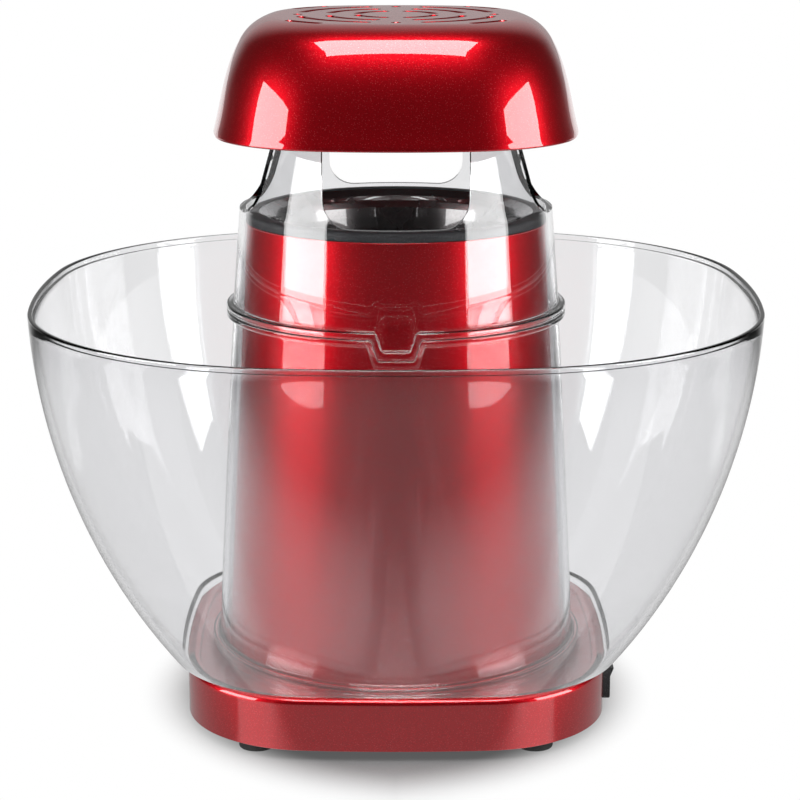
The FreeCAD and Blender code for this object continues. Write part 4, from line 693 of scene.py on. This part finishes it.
def make_switch():
    """Mini rocker switch: a framed well in the base's side, and the rocker in it with its marks."""
    well_high, well_wide = TRUNK_HIGH - TRUNK_WALL, TRUNK_WIDE - TRUNK_WALL
    edge = BEZEL_EDGE
    outlines = (
        (-SWITCH_DEPTH, TRUNK_WIDE, TRUNK_HIGH, SMALL), (-BEZEL_SUNK, TRUNK_WIDE, TRUNK_HIGH, SMALL),
        (-BEZEL_SUNK, BEZEL_WIDE, BEZEL_HIGH, BEZEL_BEND),
        (BEZEL_PROUD - edge, BEZEL_WIDE, BEZEL_HIGH, BEZEL_BEND),
        (BEZEL_PROUD - edge * 0.3, BEZEL_WIDE - edge * 0.3, BEZEL_HIGH - edge * 0.3, FULL),
        (BEZEL_PROUD, BEZEL_WIDE - edge, BEZEL_HIGH - edge, BLUNT),
        (BEZEL_PROUD, well_wide + edge * 0.5, well_high + edge * 0.5, EASED),
        (BEZEL_PROUD - edge * 0.5, well_wide, well_high, SMALL),
        (TRUNK_WALL - SWITCH_DEPTH, well_wide, well_high, SMALL))
    mesh = new_mesh("switch_frame", [upright_loop(*outline) for outline in outlines], False)
    mesh.transform(AT_SWITCH)
    new_piece("switch_frame", mesh, GLOSS, "base", ["switch_housing"])

    tilted = AT_SWITCH @ Matrix.Rotation(math.radians(ROCKER_TILT), 4, "Y")
    corners = ((-ROCKER_KEEL, -KEEL_HALF), (0.0, -1.0), (ROCKER_STAND, -1.0),
               (ROCKER_STAND - ROCKER_DIP, 0.0), (ROCKER_STAND, 1.0), (0.0, 1.0), (-ROCKER_KEEL, KEEL_HALF))
    profile = rounded([Ring(x, ROCKER_HALF * rise, SOFT) for x, rise in corners], True)
    slices = ((-ROCKER_WIDE, ROCKER_END), (ROCKER_BEVEL - ROCKER_WIDE, 1.0),
              (ROCKER_WIDE - ROCKER_BEVEL, 1.0), (ROCKER_WIDE, ROCKER_END))
    loops = [[(ring.reach * shrink, y, ring.height * shrink) for ring in profile] for y, shrink in slices]
    mesh = new_mesh("rocker_key", loops, False)
    mesh.transform(tilted)
    new_piece("rocker_key", mesh, GLOSS, "rocker", ["switch_rocker"])

    lean = math.atan2(ROCKER_DIP, ROCKER_HALF)
    for name, rise, wide, high, bend, stroke in MARKS:
        face = ROCKER_STAND - ROCKER_DIP * (1 - abs(rise) / ROCKER_HALF)
        loops = [upright_loop(x, wide, high, bend) for x in (MARK_ROOT, MARK_FACE)]
        if stroke:
            loops += [upright_loop(x, wide - stroke, high - stroke, bend - stroke)
                      for x in (MARK_FACE, MARK_ROOT)]
        mesh = new_mesh(name, loops, bool(stroke))
        mesh.transform(tilted @ Matrix.Translation(Vector((face, 0.0, rise)) * MM)
                       @ Matrix.Rotation(math.copysign(lean, rise), 4, "Y"))
        new_piece(name, mesh, MARK, "rocker")


# Studio


def add_math(tree, operation, *sources):
    """A Math node fed by sockets or numbers."""
    node = tree.nodes.new("ShaderNodeMath")
    node.operation = operation
    for socket, source in zip(node.inputs, sources):
        if isinstance(source, float):
            socket.default_value = source
        else:
            tree.links.new(source, socket)
    return node.outputs[0]


def add_fade(tree, source, start, end, low, high):
    """Smooth step of a source from low to high between start and end."""
    node = tree.nodes.new("ShaderNodeMapRange")
    node.interpolation_type = "SMOOTHSTEP"
    for socket, value in (("From Min", start), ("From Max", end), ("To Min", low), ("To Max", high)):
        node.inputs[socket].default_value = value
    tree.links.new(source, node.inputs["Value"])
    return node.outputs["Result"]


def add_choice(tree, share, first, second):
    """First where share is 0, second where it is 1."""
    node = tree.nodes.new("ShaderNodeMix")
    tree.links.new(share, node.inputs["Factor"])
    tree.links.new(first, node.inputs["A"])
    tree.links.new(second, node.inputs["B"])
    return node.outputs["Result"]


def split_place(tree, place):
    """A point's or direction's X, Y and Z."""
    split = tree.nodes.new("ShaderNodeSeparateXYZ")
    tree.links.new(place, split.inputs[0])
    return split.outputs


def add_wedge(tree, place, spread=0.7):
    """How far a point or direction lies behind the object rather than beside it."""
    across, along, _ = split_place(tree, place)
    beside = add_math(tree, "MULTIPLY", add_math(tree, "ABSOLUTE", across), spread)
    return add_math(tree, "SUBTRACT", along, beside)


def add_rays(tree):
    """The kinds of rays: Light Path's own, those only mirrored, and those that met no mirror on their way."""
    rays = tree.nodes.new("ShaderNodeLightPath").outputs
    mirrored = add_math(tree, "SUBTRACT", rays["Is Glossy Ray"], rays["Is Transmission Ray"])
    direct = add_math(tree, "LESS_THAN", rays["Glossy Depth"], 0.5)
    return rays, add_math(tree, "MAXIMUM", mirrored, 0.0), direct


def make_floor():
    """Pale floor with the object's shadow on it, plain white further out. Near the object, painted shade from
    ambient occlusion darkens its colour, and the camera sees a faint painted white glow over the shadow.

    Mirrors see it dimmer in front of the object than behind it, with a light band beside the base.
    """
    mesh = bpy.data.meshes.new("floor")
    corners = [(-FLOOR_HALF, -FLOOR_HALF, 0), (FLOOR_HALF, -FLOOR_HALF, 0), (FLOOR_HALF, FLOOR_HALF, 0),
               (-FLOOR_HALF, FLOOR_HALF, 0)]
    mesh.from_pydata(corners, [], [(0, 1, 2, 3)])
    floor = bpy.data.objects.new("floor", mesh)
    bpy.context.scene.collection.objects.link(floor)
    material = new_material("floor_white", (0.8, 0.8, 0.8), 0.6)
    tree = material.node_tree
    links, nodes = tree.links, tree.nodes
    # Painted shade: ambient occlusion darkens the floor's colour near and under the object, on top of its
    # real shadow
    painted_shade_ao = add_node(material, "ShaderNodeAmbientOcclusion", Color=FLOOR_TONE, Distance=PAINTED_SHADE_REACH)
    shade = add_node(material, "ShaderNodeGamma", Gamma=PAINTED_SHADE_GAMMA)
    links.new(painted_shade_ao.outputs["Color"], shade.inputs["Color"])
    links.new(shade.outputs["Color"], nodes["Principled BSDF"].inputs["Base Color"])
    place = add_node(material, "ShaderNodeTexCoord").outputs["Object"]
    length = nodes.new("ShaderNodeVectorMath")
    length.operation = "LENGTH"
    links.new(place, length.inputs[0])
    reach = length.outputs["Value"]
    across, along, _ = split_place(tree, place)
    beside = add_math(tree, "ABSOLUTE", across)
    rays, mirrored, direct = add_rays(tree)
    glossy = rays["Is Glossy Ray"]

    seen = add_math(tree, "MAXIMUM", rays["Is Camera Ray"], rays["Is Transmission Ray"])
    # Seen by the camera, the floor is never less than a tenth plain white, a painted glow that lifts the
    # object's shadow, and it turns fully white further out
    shadow = add_math(tree, "MULTIPLY_ADD", beside, SHADOW_SQUEEZE, reach)
    plain = add_math(tree, "MULTIPLY", seen, add_fade(tree, shadow, *SHADOW_AND_GLOW_FADE))
    near = add_fade(tree, reach, *NEAR_FADE)
    dimmed = add_math(tree, "MULTIPLY", near, add_fade(tree, beside, *BESIDE_FADE))
    level = add_choice(tree, glossy, near, dimmed)
    inner = add_math(tree, "MULTIPLY_ADD", beside, BAND_INNER_SLANT, along)
    outer = add_math(tree, "MULTIPLY_ADD", beside, BAND_OUTER_SLANT, along)
    band = add_math(tree, "SUBTRACT", add_fade(tree, inner, *BAND_INNER_FADE),
                    add_fade(tree, outer, *BAND_OUTER_FADE))
    level = add_choice(tree, mirrored, level, add_math(tree, "MULTIPLY", near, band))
    behind = add_fade(tree, add_wedge(tree, place), *BEHIND_FADE)
    level = add_math(tree, "MAXIMUM", level, behind)

    white = add_node(material, "ShaderNodeEmission", Color=(1.0, 1.0, 1.0, 1.0))
    links.new(add_math(tree, "MAXIMUM", direct, level), white.inputs["Strength"])
    mix_shaders(material, add_math(tree, "MAXIMUM", plain, glossy), nodes["Principled BSDF"].outputs["BSDF"],
                white.outputs["Emission"])
    mesh.materials.append(material)


def make_world():
    """White where it is seen, also straight through clear plastic; as a light, dim in front of the object."""
    world = bpy.data.worlds.new("studio")
    bpy.context.scene.world = world
    world.use_nodes = True
    tree = world.node_tree
    back = tree.nodes["Background"]
    back.inputs["Color"].default_value = (1.0, 1.0, 1.0, 1.0)
    place = tree.nodes.new("ShaderNodeTexCoord").outputs["Generated"]
    _, along, up = split_place(tree, place)
    rays, mirrored, direct = add_rays(tree)
    clear = add_math(tree, "MAXIMUM", add_fade(tree, up, *SKY_FADE), add_fade(tree, along, *REAR_FADE))
    dimmed = add_fade(tree, add_wedge(tree, place), *MIRROR_FADE)
    level = add_choice(tree, mirrored, clear, dimmed)
    through = add_math(tree, "MULTIPLY", direct, rays["Is Transmission Ray"])
    seen = add_math(tree, "MAXIMUM", rays["Is Camera Ray"], through)
    tree.links.new(add_math(tree, "MAXIMUM", seen, level), back.inputs["Strength"])


def add_softbox(name, place, aim, size, power):
    """A rectangular area lamp, aimed at a point."""
    lamp = bpy.data.lights.new(name, "AREA")
    lamp.shape = "RECTANGLE"
    lamp.size, lamp.size_y = size
    lamp.energy = power
    box = bpy.data.objects.new(name, lamp)
    box.location = place
    box.rotation_euler = (Vector(aim) - Vector(place)).to_track_quat("-Z", "Y").to_euler()
    bpy.context.scene.collection.objects.link(box)


def make_lights():
    """A softbox on each side and one overhead."""
    out, along, up = SIDE_BOX
    for name, side in (("left", -1), ("right", 1)):
        add_softbox(f"softbox_{name}", (out * side, along, up), (0.0, along, up), SIDE_BOX_SIZE,
                    SIDE_BOX_POWER)
    add_softbox("softbox_top", TOP_BOX, (*TOP_BOX[:2], 0.0), TOP_BOX_SIZE, TOP_BOX_POWER)


def make_camera():
    """The camera of the photograph."""
    lens = bpy.data.cameras.new("camera")
    lens.sensor_width = SENSOR_WIDTH
    lens.lens = CAMERA_LENS
    lens.shift_x = CAMERA_SHIFT
    camera = bpy.data.objects.new("camera", lens)
    camera.location = CAMERA_PLACE
    camera.rotation_euler = (math.radians(CAMERA_TILT), 0.0, 0.0)
    bpy.context.scene.collection.objects.link(camera)
    bpy.context.scene.camera = camera


dress_cad_nodes()
make_base()
make_tower()
make_cup()
make_bowl()
make_chimney()
make_cap()
make_feet()
make_switch()
make_floor()
make_world()
make_lights()
make_camera()
bpy.context.scene.view_settings.view_transform = "Standard"
